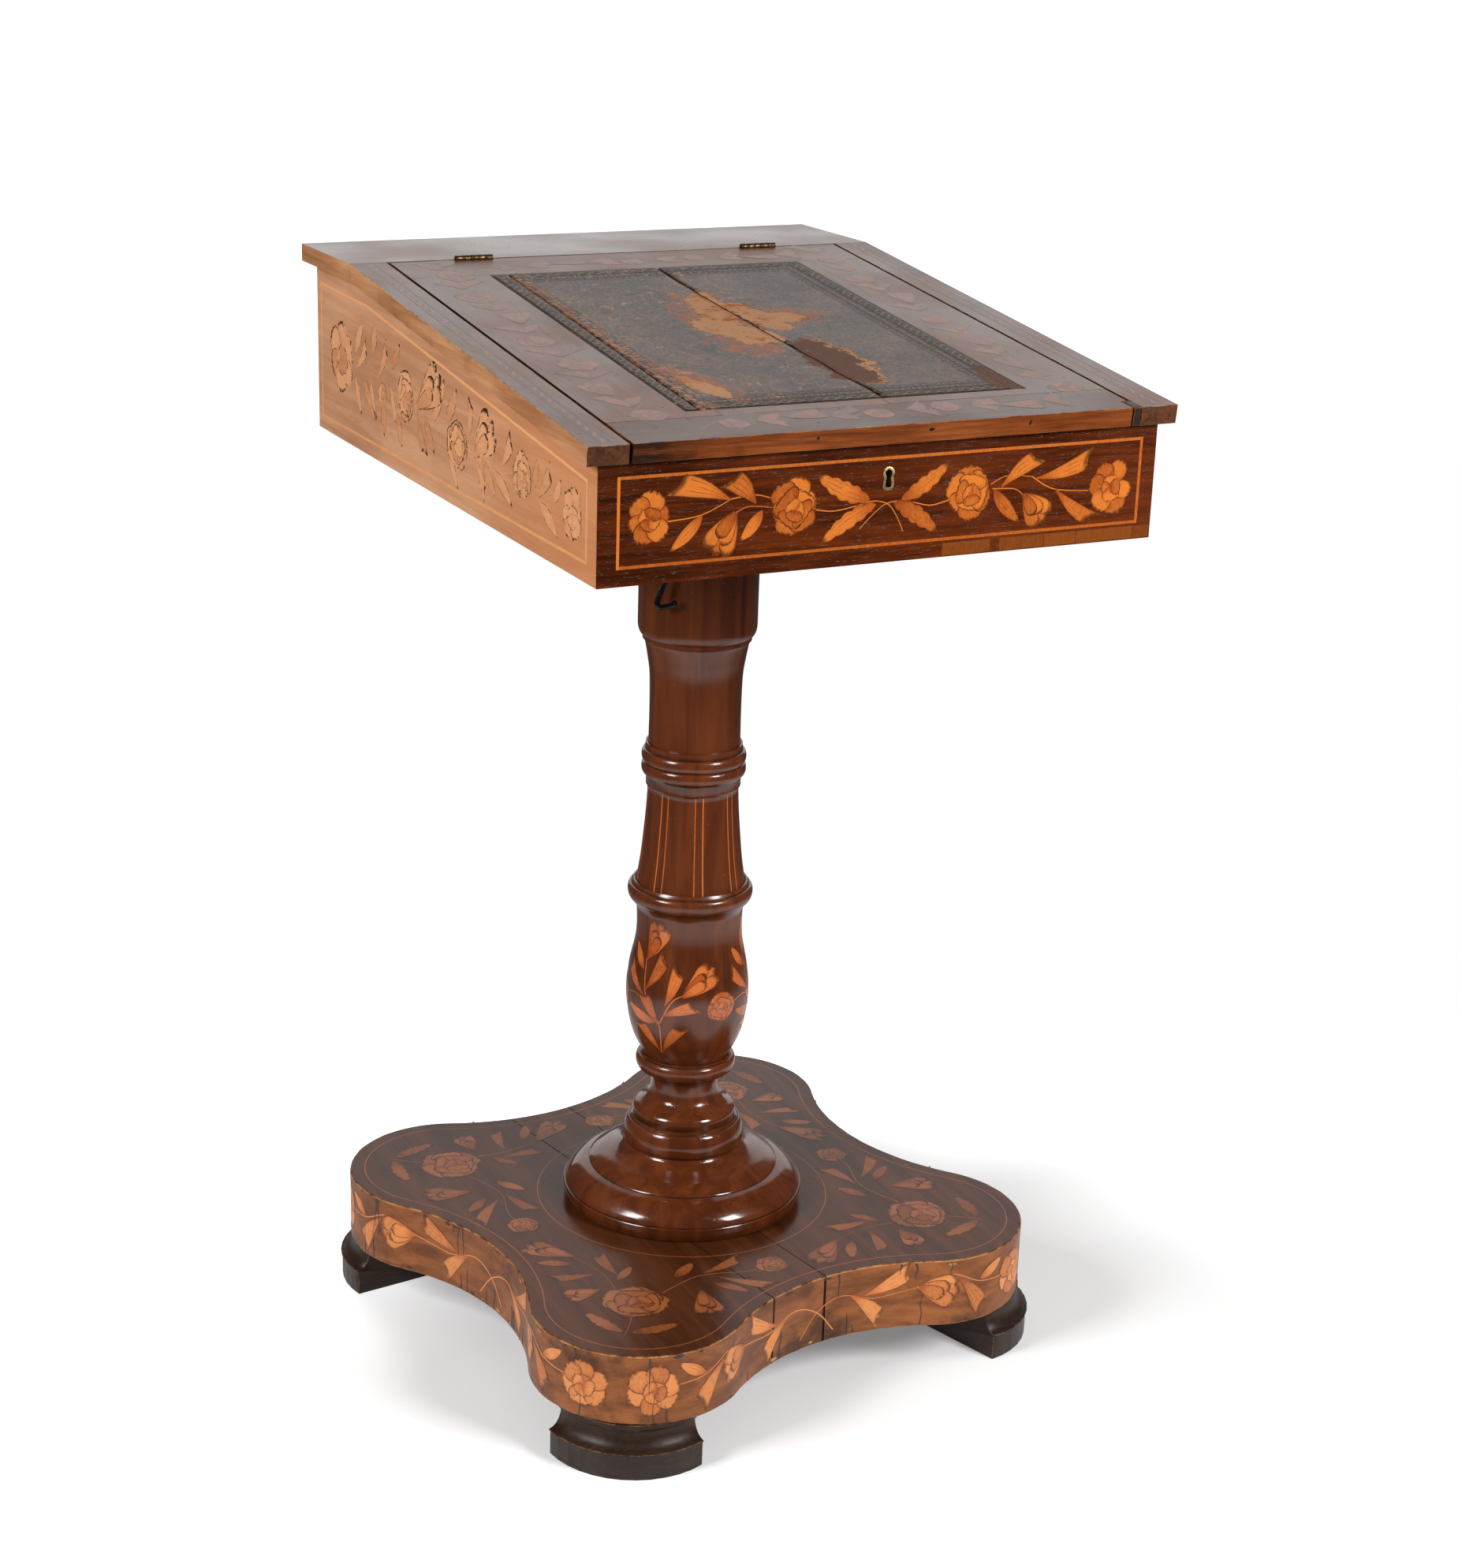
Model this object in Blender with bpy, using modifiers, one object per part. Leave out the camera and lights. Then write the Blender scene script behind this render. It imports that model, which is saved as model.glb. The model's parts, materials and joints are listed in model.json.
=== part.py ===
"""A slope-top writing desk on a turned column: a shallow box with a hinged lid, a lock and a
hook, turning on a six-piece column that stands on a four-lobed platform with moulded feet.

Metres, +Z up. The origin is on the floor under the top's middle, the box's front looks along -Y.
"""

import math

import bmesh
import bpy
from mathutils import Matrix, Vector

# Clearances
SEAT = 0.0003            # between pieces that touch
MITRE = 0.0004           # between mitred panels, along the panel
RUNNING = 0.00025        # round a sliding or turning piece
PIN_RUNNING = 0.0001     # round a hinge pin

# Feet and platform
FOOT_HEIGHT = 0.0437
FOOT_ARC = 0.0745        # radius of the plinth's round outer side
FOOT_INSET = 0.0122      # from the inner corner to that round's centre, along both flat sides
FOOT_OUTSET = 0.0035     # the inner corner's place beyond the lobe's centre, along both axes
FOOT_ARRIS = 0.0012      # the edge over the plinth
FOOT_COVE = 0.0115       # depth of the hollow
FOOT_FILLET = 0.005      # height of the flat band under the platform
FOOT_PLINTH = 0.0215     # height of the plinth
PLATFORM_THICKNESS = 0.060
LOBE_CENTRE = 0.145      # of each round lobe, from the column along both axes
LOBE_RADIUS = 0.0875
WAIST = 0.1925           # from the column to the middle of a hollow side
PLANK_JOINTS = (-0.050, 0.008)
FOOT_TWISTS = {"front_left": 4.0, "front_right": 7.5, "back_right": 0.0, "back_left": -2.5}   # degrees askew
BASE_TURN = math.radians(9.9)   # how far the base is turned against the box

# Column, from the floor up. Each piece stands on a seat inside the lip of the one below.
DOME_HEIGHT = 0.0505
DOME_RADIUS = 0.1024
DOME_SHOULDER = 0.0855
DOME_TOP_RADIUS = 0.0570
STEM_HEIGHT = 0.078
STEM_RING_RADIUS = 0.0525
STEM_NECK_RADIUS = 0.0303
STEM_TOP_RING_RADIUS = 0.0423
BALUSTER_HEIGHT = 0.155
BALUSTER_FOOT_RADIUS = 0.0365
BALUSTER_BELLY_RADIUS = 0.0515
BALUSTER_WAIST_RADIUS = 0.0438
BALUSTER_RING_RADIUS = 0.0519
SHAFT_HEIGHT = 0.1188
SHAFT_FOOT_RADIUS = 0.0455
SHAFT_TOP_RADIUS = 0.0373
SHAFT_RING_RADIUS = 0.0429
NECK_HEIGHT = 0.094
NECK_RADIUS = 0.0374
NECK_TOP_RADIUS = 0.0443
COLLAR_HEIGHT = 0.1336
COLLAR_RADIUS = 0.0484
COLLAR_CHAMFER = 0.0094
LIP_HEIGHT = 0.003
LIP_WALL = 0.0014
TENON_RADIUS = 0.0165
TENON_LENGTH = 0.024
TENON_AIR = 0.001        # under a tenon's end
SPIGOT_RADIUS = 0.020
TURNED_STEPS = 26

COLUMN_SETBACK = 0.008   # the column stands this far behind the top's middle

# Box
BOX_WIDTH = 0.444
BOX_DEPTH = 0.578
FRONT_HEIGHT = 0.085     # panel height under the lid's front edge
BACK_HEIGHT = 0.138      # panel height under the top board
WALL = 0.013
BOTTOM_THICKNESS = 0.009
BOTTOM_RECESS = 0.006    # the bottom board lies this far inside the panels
TOP_THICKNESS = 0.014
FRONT_OVERHANG = 0.0075
BACK_OVERHANG = 0.0045
SIDE_OVERHANG = 0.0112
RAIL_DEPTH = 0.1187
STRIP_WIDTH = 0.031
LID_GAP = 0.0025
PIVOT_BLOCK_SIDE = 0.110
PIVOT_BLOCK_HEIGHT = 0.020
CORNER_BLOCK_WIDTH = 0.0062
CORNER_BLOCK_LENGTH = 0.017
CORNER_BLOCK_AIR = 0.0012

# Lid
FRONT_CLAMP = 0.046
BACK_CLAMP = 0.048
LEFT_BOARD = 0.0877      # width of the lid's left core board
MIDDLE_BOARD = 0.132
LEATHER_LEFT_MARGIN = 0.0697
LEATHER_RIGHT_MARGIN = 0.0597
LEATHER_FRONT_MARGIN = 0.0592
LEATHER_BACK_MARGIN = 0.0515
LEATHER_THICKNESS = 0.0012

# Butt hinges
HINGE_INSET = 0.0717     # from the lid's side to the middle of a hinge
HINGE_LENGTH = 0.032
HINGE_KNUCKLES = 5
KNUCKLE_RADIUS = 0.0024
KNUCKLE_GAP = 0.0003
LEAF_THICKNESS = 0.0015
LEAF_HEIGHT = 0.0095
LEAF_PROUD = 0.0005
NECK_INSET = 0.0001      # the neck of a knuckle is this much thinner than the leaf
PIN_RADIUS = 0.0011
PIN_RISE = 0.0008        # the pin's centre above the top board

# Lock
KEYHOLE_LEVEL = 0.0598   # middle of the escutcheon above the panel's lower edge
KEYHOLE_HEIGHT = 0.0128
KEYHOLE_BOW = 0.0027     # radius of the keyhole's round top
KEYHOLE_SLOT = 0.0036    # width of its slot, under the round
KEYHOLE_FLARE = 1.45     # how much wider the slot's foot is
ESCUTCHEON_RIM = 0.0020
ESCUTCHEON_DEPTH = 0.004
CASE_WIDTH = 0.056
CASE_HEIGHT = 0.040
CASE_DEPTH = 0.0105
CASE_WALL = 0.0015
CASE_DROP = 0.0012       # the case's top under the panel's top
CAP_THICKNESS = 0.0012
BOLT_WIDTH = 0.022
BOLT_THICKNESS = 0.004
BOLT_HEIGHT = 0.016
BOLT_TRAVEL = 0.006
STRIKE_LENGTH = 0.044
STRIKE_WIDTH = 0.014
STRIKE_THICKNESS = 0.0012
STRIKE_CLEARANCE = 0.0012   # beside the raised bolt
STRIKE_PLAY = 0.0022        # before and behind it, as the lid is aslant
STRIKE_MORTISE = 0.0095     # depth over the plate

# Hook and its screw eye
HOOK_FROM_COLUMN = (-0.0432, -0.0369)
HOOK_TURN = math.radians(-25.6)   # of the hook's plane about Z
HOOK_WIRE = 0.0013
EYE_RADIUS = 0.0048
EYE_SHANK = 0.005
HOOK_RING_RADIUS = 0.0042
HOOK_DROP = 0.080
HOOK_CRANK = 0.010
HOOK_TIP = 0.011

# Levels and edges that follow from the sizes above
PLATFORM_BOTTOM = FOOT_HEIGHT + SEAT
PLATFORM_TOP = PLATFORM_BOTTOM + PLATFORM_THICKNESS
DOME_SEAT = PLATFORM_TOP + SEAT
STEM_SEAT = DOME_SEAT + DOME_HEIGHT + SEAT
BALUSTER_SEAT = STEM_SEAT + STEM_HEIGHT + SEAT
SHAFT_SEAT = BALUSTER_SEAT + BALUSTER_HEIGHT + SEAT
NECK_SEAT = SHAFT_SEAT + SHAFT_HEIGHT + SEAT
COLLAR_SEAT = NECK_SEAT + NECK_HEIGHT + SEAT
COLLAR_TOP = COLLAR_SEAT + COLLAR_HEIGHT
BOARD_BOTTOM = COLLAR_TOP + SEAT
BOARD_TOP = BOARD_BOTTOM + BOTTOM_THICKNESS
BLOCK_TOP = BOARD_TOP + SEAT + PIVOT_BLOCK_HEIGHT
PANEL_BOTTOM = BOARD_BOTTOM - BOTTOM_RECESS
RAIL_BOTTOM = PANEL_BOTTOM + BACK_HEIGHT
RAIL_TOP = RAIL_BOTTOM + TOP_THICKNESS
TOTAL_DEPTH = FRONT_OVERHANG + BOX_DEPTH + BACK_OVERHANG
EDGE_FRONT = -TOTAL_DEPTH / 2
EDGE_BACK = TOTAL_DEPTH / 2
FACE_FRONT = EDGE_FRONT + FRONT_OVERHANG
FACE_BACK = EDGE_BACK - BACK_OVERHANG
RAIL_FRONT = EDGE_BACK - RAIL_DEPTH
HALF_WIDTH = BOX_WIDTH / 2
EDGE_SIDE = HALF_WIDTH + SIDE_OVERHANG
STRIP_INNER = EDGE_SIDE - STRIP_WIDTH
LID_SIDE = STRIP_INNER - LID_GAP
LID_JOINTS = (-LID_SIDE + LEFT_BOARD, -LID_SIDE + LEFT_BOARD + MIDDLE_BOARD)
LEATHER_LEFT = -LID_SIDE + LEATHER_LEFT_MARGIN
LEATHER_RIGHT = LID_SIDE - LEATHER_RIGHT_MARGIN
HINGE_CENTRES = (-LID_SIDE + HINGE_INSET, LID_SIDE - HINGE_INSET)
SLOPE = math.atan2(BACK_HEIGHT - FRONT_HEIGHT, RAIL_FRONT - EDGE_FRONT)
SLOPE_LENGTH = (RAIL_FRONT - EDGE_FRONT) / math.cos(SLOPE)
CASE_FRONT = FACE_FRONT + WALL + SEAT
BOLT_FRONT = CASE_FRONT + CASE_WALL + RUNNING
KEYHOLE_Z = PANEL_BOTTOM + KEYHOLE_LEVEL

# The slope's own frame: its origin is the hinge axis, Y runs up the slope, Z off the lid
HINGE_AXIS = Vector((0.0, RAIL_FRONT - LID_GAP / 2, RAIL_TOP + PIN_RISE))
SLOPE_TOP = -(PIN_RISE * math.cos(SLOPE) + LID_GAP / 2 * math.sin(SLOPE))
SLOPE_BOTTOM = SLOPE_TOP - TOP_THICKNESS
SLOPE_BACK = LID_GAP / 2 * math.cos(SLOPE) - PIN_RISE * math.sin(SLOPE)
SLOPE_FRONT = SLOPE_BACK - SLOPE_LENGTH


def slope_under(y):
    """Height of the lid's underside over a place y of the box."""
    return RAIL_TOP + (y - RAIL_FRONT) * math.tan(SLOPE) - TOP_THICKNESS / math.cos(SLOPE)


CASE_TOP = slope_under(CASE_FRONT) - SEAT - CASE_DROP


# Scene, collections, materials

for old in list(bpy.data.objects):
    bpy.data.objects.remove(old, do_unlink=True)

DESK = bpy.data.collections.new("writing_desk")
CUTTERS = bpy.data.collections.new("cutters")
for made in (DESK, CUTTERS):
    bpy.context.scene.collection.children.link(made)
CUTTERS.hide_render = True


def material(name, colour, roughness, metallic=0.0):
    """A plain Principled material."""
    made = bpy.data.materials.new(name)
    made.use_nodes = True
    shader = made.node_tree.nodes["Principled BSDF"]
    shader.inputs["Base Color"].default_value = (*colour, 1.0)
    shader.inputs["Roughness"].default_value = roughness
    shader.inputs["Metallic"].default_value = metallic
    return made


EBONISED = material("ebonised_wood", (0.020, 0.014, 0.012), 0.45)
VENEER = material("marquetry_veneer", (0.22, 0.11, 0.055), 0.35)
TURNED = material("polished_walnut", (0.075, 0.020, 0.009), 0.25)
FRONT_VENEER = material("front_mahogany", (0.085, 0.020, 0.007), 0.28)
FADED = material("faded_side_veneer", (0.45, 0.22, 0.10), 0.45)
CARCASS = material("carcass_wood", (0.30, 0.17, 0.09), 0.6)
HIDE = material("worn_leather", (0.055, 0.052, 0.047), 0.55)
BRASS = material("aged_brass", (0.42, 0.28, 0.11), 0.4, 1.0)
IRON = material("black_iron", (0.012, 0.012, 0.013), 0.25, 0.6)


def empty(name, place=(0, 0, 0), turn=(0, 0, 0), parent=None):
    """An empty that carries a group of pieces."""
    made = bpy.data.objects.new(name, None)
    made.location = place
    made.rotation_euler = turn
    made.parent = parent
    DESK.objects.link(made)
    return made


BASE = empty("base_axis", (0, COLUMN_SETBACK, 0), (0, 0, BASE_TURN))
BOX = empty("box_axis")
SLOPE_FRAME = empty("slope_frame", HINGE_AXIS, (SLOPE, 0, 0), BOX)
LID = empty("lid_axis", HINGE_AXIS, (SLOPE, 0, 0), BOX)
HOOK_PLACE = (HOOK_FROM_COLUMN[0], HOOK_FROM_COLUMN[1] + COLUMN_SETBACK)
HOOK_PIVOT = Vector((*HOOK_PLACE, BOARD_BOTTOM - EYE_SHANK - 2 * EYE_RADIUS))
HOOK = empty("hook_axis", HOOK_PIVOT, (0, 0, HOOK_TURN), BOX)


# Modelling helpers

def place(bm, name, finish, parent, origin=(0, 0, 0), cutter=False, smooth=False):
    """Turns a bmesh into a named object at origin, under parent, and frees the bmesh."""
    bmesh.ops.remove_doubles(bm, verts=bm.verts, dist=1e-6)
    bmesh.ops.recalc_face_normals(bm, faces=bm.faces)
    mesh = bpy.data.meshes.new(name)
    bm.to_mesh(mesh)
    bm.free()
    if smooth:
        mesh.shade_smooth()
        mesh.set_sharp_from_angle(angle=math.radians(35))
    obj = bpy.data.objects.new(name, mesh)
    obj.location = origin
    obj.parent = parent
    if cutter:
        obj.hide_render = True
        obj.display_type = "WIRE"
    else:
        mesh.materials.append(finish)
    (CUTTERS if cutter else DESK).objects.link(obj)
    return obj


def box_mesh(low, high):
    """A bmesh box between two corners."""
    low, high = Vector(low), Vector(high)
    bm = bmesh.new()
    bmesh.ops.create_cube(bm, size=1.0, matrix=Matrix.LocRotScale((low + high) / 2, None, high - low))
    return bm


def rod_mesh(radius, low, high, axis="Z", segments=16):
    """A bmesh cylinder of given radius from low to high along an axis through the origin."""
    turn = {"X": Matrix.Rotation(math.pi / 2, 4, "Y"), "Y": Matrix.Rotation(-math.pi / 2, 4, "X"),
            "Z": Matrix.Identity(4)}[axis]
    bm = bmesh.new()
    middle = Matrix.Translation((0, 0, (low + high) / 2))
    bmesh.ops.create_cone(bm, cap_ends=True, segments=segments, radius1=radius, radius2=radius,
                          depth=high - low, matrix=turn @ middle)
    return bm


def prism_mesh(outline, low, high):
    """A bmesh prism: a plan outline of (x, y) points, from one level to another."""
    bm = bmesh.new()
    face = bm.faces.new([bm.verts.new((x, y, low)) for x, y in outline])
    top = bmesh.ops.extrude_face_region(bm, geom=[face])["geom"]
    bmesh.ops.translate(bm, verts=[v for v in top if isinstance(v, bmesh.types.BMVert)],
                        vec=(0, 0, high - low))
    bmesh.ops.recalc_face_normals(bm, faces=bm.faces)
    return bm


def trim(bm, point, normal):
    """Cuts off what lies on the normal's side of a plane, and closes the cut."""
    everything = bm.verts[:] + bm.edges[:] + bm.faces[:]
    cut = bmesh.ops.bisect_plane(bm, geom=everything, plane_co=point, plane_no=normal, dist=1e-7,
                                 clear_outer=True)
    rim = [part for part in cut["geom_cut"] if isinstance(part, bmesh.types.BMEdge)]
    bmesh.ops.edgeloop_fill(bm, edges=rim)


def boolean(target, other, operation="DIFFERENCE"):
    """Adds a Boolean modifier to target."""
    modifier = target.modifiers.new(operation.lower(), "BOOLEAN")
    modifier.operation = operation
    modifier.solver = "EXACT"
    modifier.object = other


def arc(centre, radius, start, end, steps):
    """Points of an arc, in degrees."""
    points = []
    for step in range(steps + 1):
        angle = math.radians(start + (end - start) * step / steps)
        points.append((centre[0] + radius * math.cos(angle), centre[1] + radius * math.sin(angle)))
    return points


# Turned profiles: lists of (radius, height), from the top down

def swell(top, bottom, bulge, steps=6):
    """A bead (bulge over zero) or a cove (under zero) between two profile points."""
    points = []
    for step in range(steps + 1):
        turn = math.pi * step / steps
        share = (1 - math.cos(turn)) / 2
        radius = top[0] + (bottom[0] - top[0]) * share + bulge * math.sin(turn)
        points.append((radius, top[1] + (bottom[1] - top[1]) * share))
    return points


def quarter(top, bottom, steps=5, hollow=False):
    """A quarter of an ellipse between two profile points, full outwards or hollowed."""
    points = []
    for step in range(steps + 1):
        turn = math.pi / 2 * step / steps
        out, down = (1 - math.cos(turn), math.sin(turn)) if hollow else (math.sin(turn), 1 - math.cos(turn))
        points.append((top[0] + (bottom[0] - top[0]) * out, top[1] + (bottom[1] - top[1]) * down))
    return points


def flowing(knots, steps=2):
    """A smooth curve through a few profile knots."""
    points = []
    last = len(knots) - 1
    for i in range(last):
        before, start = knots[max(i - 1, 0)], knots[i]
        end, after = knots[i + 1], knots[min(i + 2, last)]
        for step in range(steps):
            t = step / steps
            points.append(tuple(
                0.5 * (2 * b + (c - a) * t + (2 * a - 5 * b + 4 * c - d) * t * t
                       + (3 * b - a - 3 * c + d) * t ** 3)
                for a, b, c, d in zip(before, start, end, after)))
    return points + [knots[-1]]


def mortise(height, lip_inner=None):
    """The top of a turned piece: a blind hole for a tenon, and the seat inside its lip."""
    hole = TENON_RADIUS + SEAT
    floor = height - TENON_LENGTH - TENON_AIR
    points = [(0.0, floor), (hole, floor), (hole, height)]
    if lip_inner:
        lip_top = height + LIP_HEIGHT
        points += [(lip_inner, height), (lip_inner, lip_top), (lip_inner + LIP_WALL, lip_top)]
    return points


TENON = [(TENON_RADIUS, 0.0), (TENON_RADIUS, -TENON_LENGTH), (0.0, -TENON_LENGTH)]


def turned(name, profile, seat, finish=TURNED):
    """A turned piece: its profile spun about the column's axis by a Screw modifier."""
    bm = bmesh.new()
    verts = []
    for radius, height in profile:
        if not verts or (verts[-1].co - Vector((radius, 0, height))).length > 1e-6:
            verts.append(bm.verts.new((radius, 0.0, height)))
    for upper, lower in zip(verts, verts[1:]):
        bm.edges.new((upper, lower))
    mesh = bpy.data.meshes.new(name)
    bm.to_mesh(mesh)
    bm.free()
    mesh.materials.append(finish)
    obj = bpy.data.objects.new(name, mesh)
    obj.location = (0, 0, seat)
    obj.parent = BASE
    DESK.objects.link(obj)
    screw = obj.modifiers.new("turning", "SCREW")
    screw.axis = "Z"
    screw.steps = TURNED_STEPS
    screw.render_steps = TURNED_STEPS
    screw.use_merge_vertices = True
    screw.merge_threshold = 1e-5
    screw.use_smooth_shade = True
    return obj


# Base: feet, platform, column

def lobed_outline():
    """Plan of the platform: four lobes joined by hollow sides that run into them smoothly."""
    reach = WAIST - LOBE_RADIUS
    hollow = (2 * LOBE_CENTRE ** 2 - reach ** 2) / (2 * (LOBE_CENTRE - reach))
    hollow_radius = hollow - WAIST
    lean = math.degrees(math.atan2(LOBE_CENTRE, hollow - LOBE_CENTRE))
    points = []
    for quarter_turn in range(4):
        side = arc((hollow, 0), hollow_radius, 180 + lean, 180 - lean, 10)
        lobe = arc((LOBE_CENTRE, LOBE_CENTRE), LOBE_RADIUS, -lean, 90 + lean, 14)
        spin = Matrix.Rotation(quarter_turn * math.pi / 2, 2)
        points += [tuple(spin @ Vector(p)) for p in side[:-1] + lobe[:-1]]
    return points


def build_platform():
    """Three planks side by side, bored for the dome's tenon."""
    bore = place(rod_mesh(TENON_RADIUS + SEAT, PLATFORM_BOTTOM - 0.01, PLATFORM_TOP + 0.01, segments=24),
                 "platform_bore", None, BASE, cutter=True)
    reach = LOBE_CENTRE + LOBE_RADIUS + 1.0
    edges = (-reach, *PLANK_JOINTS, reach)
    for name, left, right in zip(("left", "middle", "right"), edges, edges[1:]):
        bm = prism_mesh(lobed_outline(), PLATFORM_BOTTOM, PLATFORM_TOP)
        if left > -reach:
            trim(bm, (left + SEAT / 2, 0, 0), (-1, 0, 0))
        if right < reach:
            trim(bm, (right - SEAT / 2, 0, 0), (1, 0, 0))
        plank = place(bm, f"platform_plank_{name}", VENEER, BASE)
        if left < TENON_RADIUS + SEAT and right > -TENON_RADIUS - SEAT:
            boolean(plank, bore)


def foot_profile():
    """Outer side of a foot, from the platform down."""
    arris = FOOT_ARC + FOOT_ARRIS
    band = arris - FOOT_COVE * 0.8
    cove_top = FOOT_HEIGHT - FOOT_FILLET
    return ([(band, FOOT_HEIGHT), (band, cove_top)]
            + quarter((arris - FOOT_COVE, cove_top), (arris, FOOT_PLINTH + FOOT_ARRIS), 5, hollow=True)
            + [(arris, FOOT_PLINTH), (FOOT_ARC, FOOT_PLINTH - FOOT_ARRIS), (FOOT_ARC, 0.0)])


def foot_mesh():
    """One foot in its own corner: flat sides along +X and +Y, a moulded round outer side.

    Each level of the profile is an outline of the inner corner and an arc that ends on both flat
    sides; the levels are joined into one closed body.
    """
    bm = bmesh.new()
    rings = []
    for radius, height in foot_profile():
        past = math.degrees(math.asin(FOOT_INSET / radius))
        outline = [(0.0, 0.0)] + arc((FOOT_INSET, FOOT_INSET), radius, -past, 90 + past, 12)
        rings.append([bm.verts.new((x, y, height)) for x, y in outline])
    for upper, lower in zip(rings, rings[1:]):
        for i in range(len(upper)):
            j = (i + 1) % len(upper)
            bm.faces.new((upper[i], upper[j], lower[j], lower[i]))
    bm.faces.new(rings[0])
    bm.faces.new(rings[-1])
    return bm


def build_feet():
    """A moulded block under each lobe, its flat sides turned inwards, each set a little askew."""
    corner = LOBE_CENTRE + FOOT_OUTSET
    quarter_turns = {"back_right": 0, "back_left": 1, "front_left": 2, "front_right": 3}
    for name, quarters in quarter_turns.items():
        spin = Matrix.Rotation(quarters * math.pi / 2, 3, "Z")
        foot = place(foot_mesh(), f"foot_{name}", EBONISED, BASE, spin @ Vector((corner, corner, 0)), smooth=True)
        foot.rotation_euler.z = quarters * math.pi / 2 + math.radians(FOOT_TWISTS[name])


def build_column():
    """Six turned pieces, each with a tenon that goes into the piece below."""
    fillet = 0.0012
    dome = mortise(DOME_HEIGHT) + quarter((DOME_TOP_RADIUS, DOME_HEIGHT), (DOME_SHOULDER - 0.002, 0.0365))
    dome += quarter((DOME_SHOULDER, 0.0355), (DOME_RADIUS, 0.010), 6)
    dome += quarter((DOME_RADIUS, 0.010), (DOME_RADIUS - 0.0045, 0.0035), 3, hollow=True)
    dome += [(DOME_RADIUS - 0.003, 0.0030), (DOME_RADIUS - 0.003, 0.0)]
    tenon_end = TENON_AIR - PLATFORM_THICKNESS
    dome += [(TENON_RADIUS, 0.0), (TENON_RADIUS, tenon_end), (0.0, tenon_end)]
    turned("column_dome", dome, DOME_SEAT)

    stem = mortise(STEM_HEIGHT, BALUSTER_FOOT_RADIUS + 2 * SEAT)
    stem += swell((BALUSTER_FOOT_RADIUS + 0.0025, 0.0795), (STEM_TOP_RING_RADIUS - 0.004, 0.0665), 0.0036)
    stem += [(STEM_NECK_RADIUS + 0.003, 0.0655)]
    stem += flowing([(STEM_NECK_RADIUS + 0.0008, 0.0630), (STEM_NECK_RADIUS, 0.0580),
                     (STEM_NECK_RADIUS + 0.0062, 0.0440), (STEM_NECK_RADIUS + 0.0145, 0.0315)])
    stem += [(STEM_NECK_RADIUS + 0.0157, 0.0310), (STEM_NECK_RADIUS + 0.0157, 0.0285)]
    stem += swell((STEM_NECK_RADIUS + 0.0170, 0.0270), (STEM_RING_RADIUS - 0.0030, 0.0008), 0.0042, 7)
    turned("column_stem", stem + [(STEM_RING_RADIUS - 0.0030, 0.0)] + TENON, STEM_SEAT)

    baluster = mortise(BALUSTER_HEIGHT, SHAFT_FOOT_RADIUS + 2 * SEAT)
    baluster += [(SHAFT_FOOT_RADIUS + 0.0030, 0.1565)]
    baluster += swell((BALUSTER_RING_RADIUS - 0.0028, 0.1545), (BALUSTER_RING_RADIUS - 0.0042, 0.1410), 0.0036)
    baluster += [(BALUSTER_WAIST_RADIUS + 0.0022, 0.1375), (BALUSTER_WAIST_RADIUS + 0.0006, 0.1345)]
    baluster += flowing([(BALUSTER_WAIST_RADIUS + 0.0004, 0.1325), (BALUSTER_WAIST_RADIUS, 0.1186),
                         (BALUSTER_WAIST_RADIUS + 0.0011, 0.1046), (BALUSTER_BELLY_RADIUS - 0.0020, 0.0818),
                         (BALUSTER_BELLY_RADIUS, 0.0610), (BALUSTER_BELLY_RADIUS - 0.0018, 0.0387),
                         (BALUSTER_BELLY_RADIUS - 0.0064, 0.0205), (BALUSTER_FOOT_RADIUS + 0.0012, 0.0055),
                         (BALUSTER_FOOT_RADIUS, LIP_HEIGHT)])
    turned("column_baluster", baluster + [(BALUSTER_FOOT_RADIUS, 0.0)] + TENON, BALUSTER_SEAT)

    ring_foot = 0.0953
    shaft = mortise(SHAFT_HEIGHT, NECK_RADIUS + 0.0003 + 2 * SEAT)
    shaft += [(SHAFT_RING_RADIUS - 0.0031, SHAFT_HEIGHT + 0.0005)]
    shaft += swell((SHAFT_RING_RADIUS - 0.0025, 0.1163), (SHAFT_RING_RADIUS - 0.0022, 0.1060), 0.0024, 5)
    shaft += swell((SHAFT_RING_RADIUS - 0.0022, 0.1056), (SHAFT_RING_RADIUS - 0.0025, ring_foot), 0.0024, 5)
    shaft += [(SHAFT_TOP_RADIUS + 0.0016, 0.0930), (SHAFT_TOP_RADIUS + 0.0016, 0.0860)]
    shaft += [(SHAFT_TOP_RADIUS + 0.0004, 0.0845)]
    shaft += flowing([(SHAFT_TOP_RADIUS, 0.0810), (SHAFT_TOP_RADIUS + 0.0010, 0.0633),
                      (SHAFT_TOP_RADIUS + 0.0026, 0.0440), (SHAFT_TOP_RADIUS + 0.0049, 0.0213),
                      (SHAFT_FOOT_RADIUS, 0.0)])
    turned("column_shaft", shaft + TENON, SHAFT_SEAT)

    neck = mortise(NECK_HEIGHT) + [(NECK_TOP_RADIUS, NECK_HEIGHT), (NECK_TOP_RADIUS, 0.0905)]
    neck += flowing([(NECK_TOP_RADIUS - 0.0013, 0.0897), (NECK_RADIUS + 0.0046, 0.0862),
                     (NECK_RADIUS + 0.0026, 0.0752), (NECK_RADIUS + 0.0005, 0.0590),
                     (NECK_RADIUS, 0.0290), (NECK_RADIUS + 0.0003, 0.0)])
    turned("column_neck", neck + TENON, NECK_SEAT)

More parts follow.
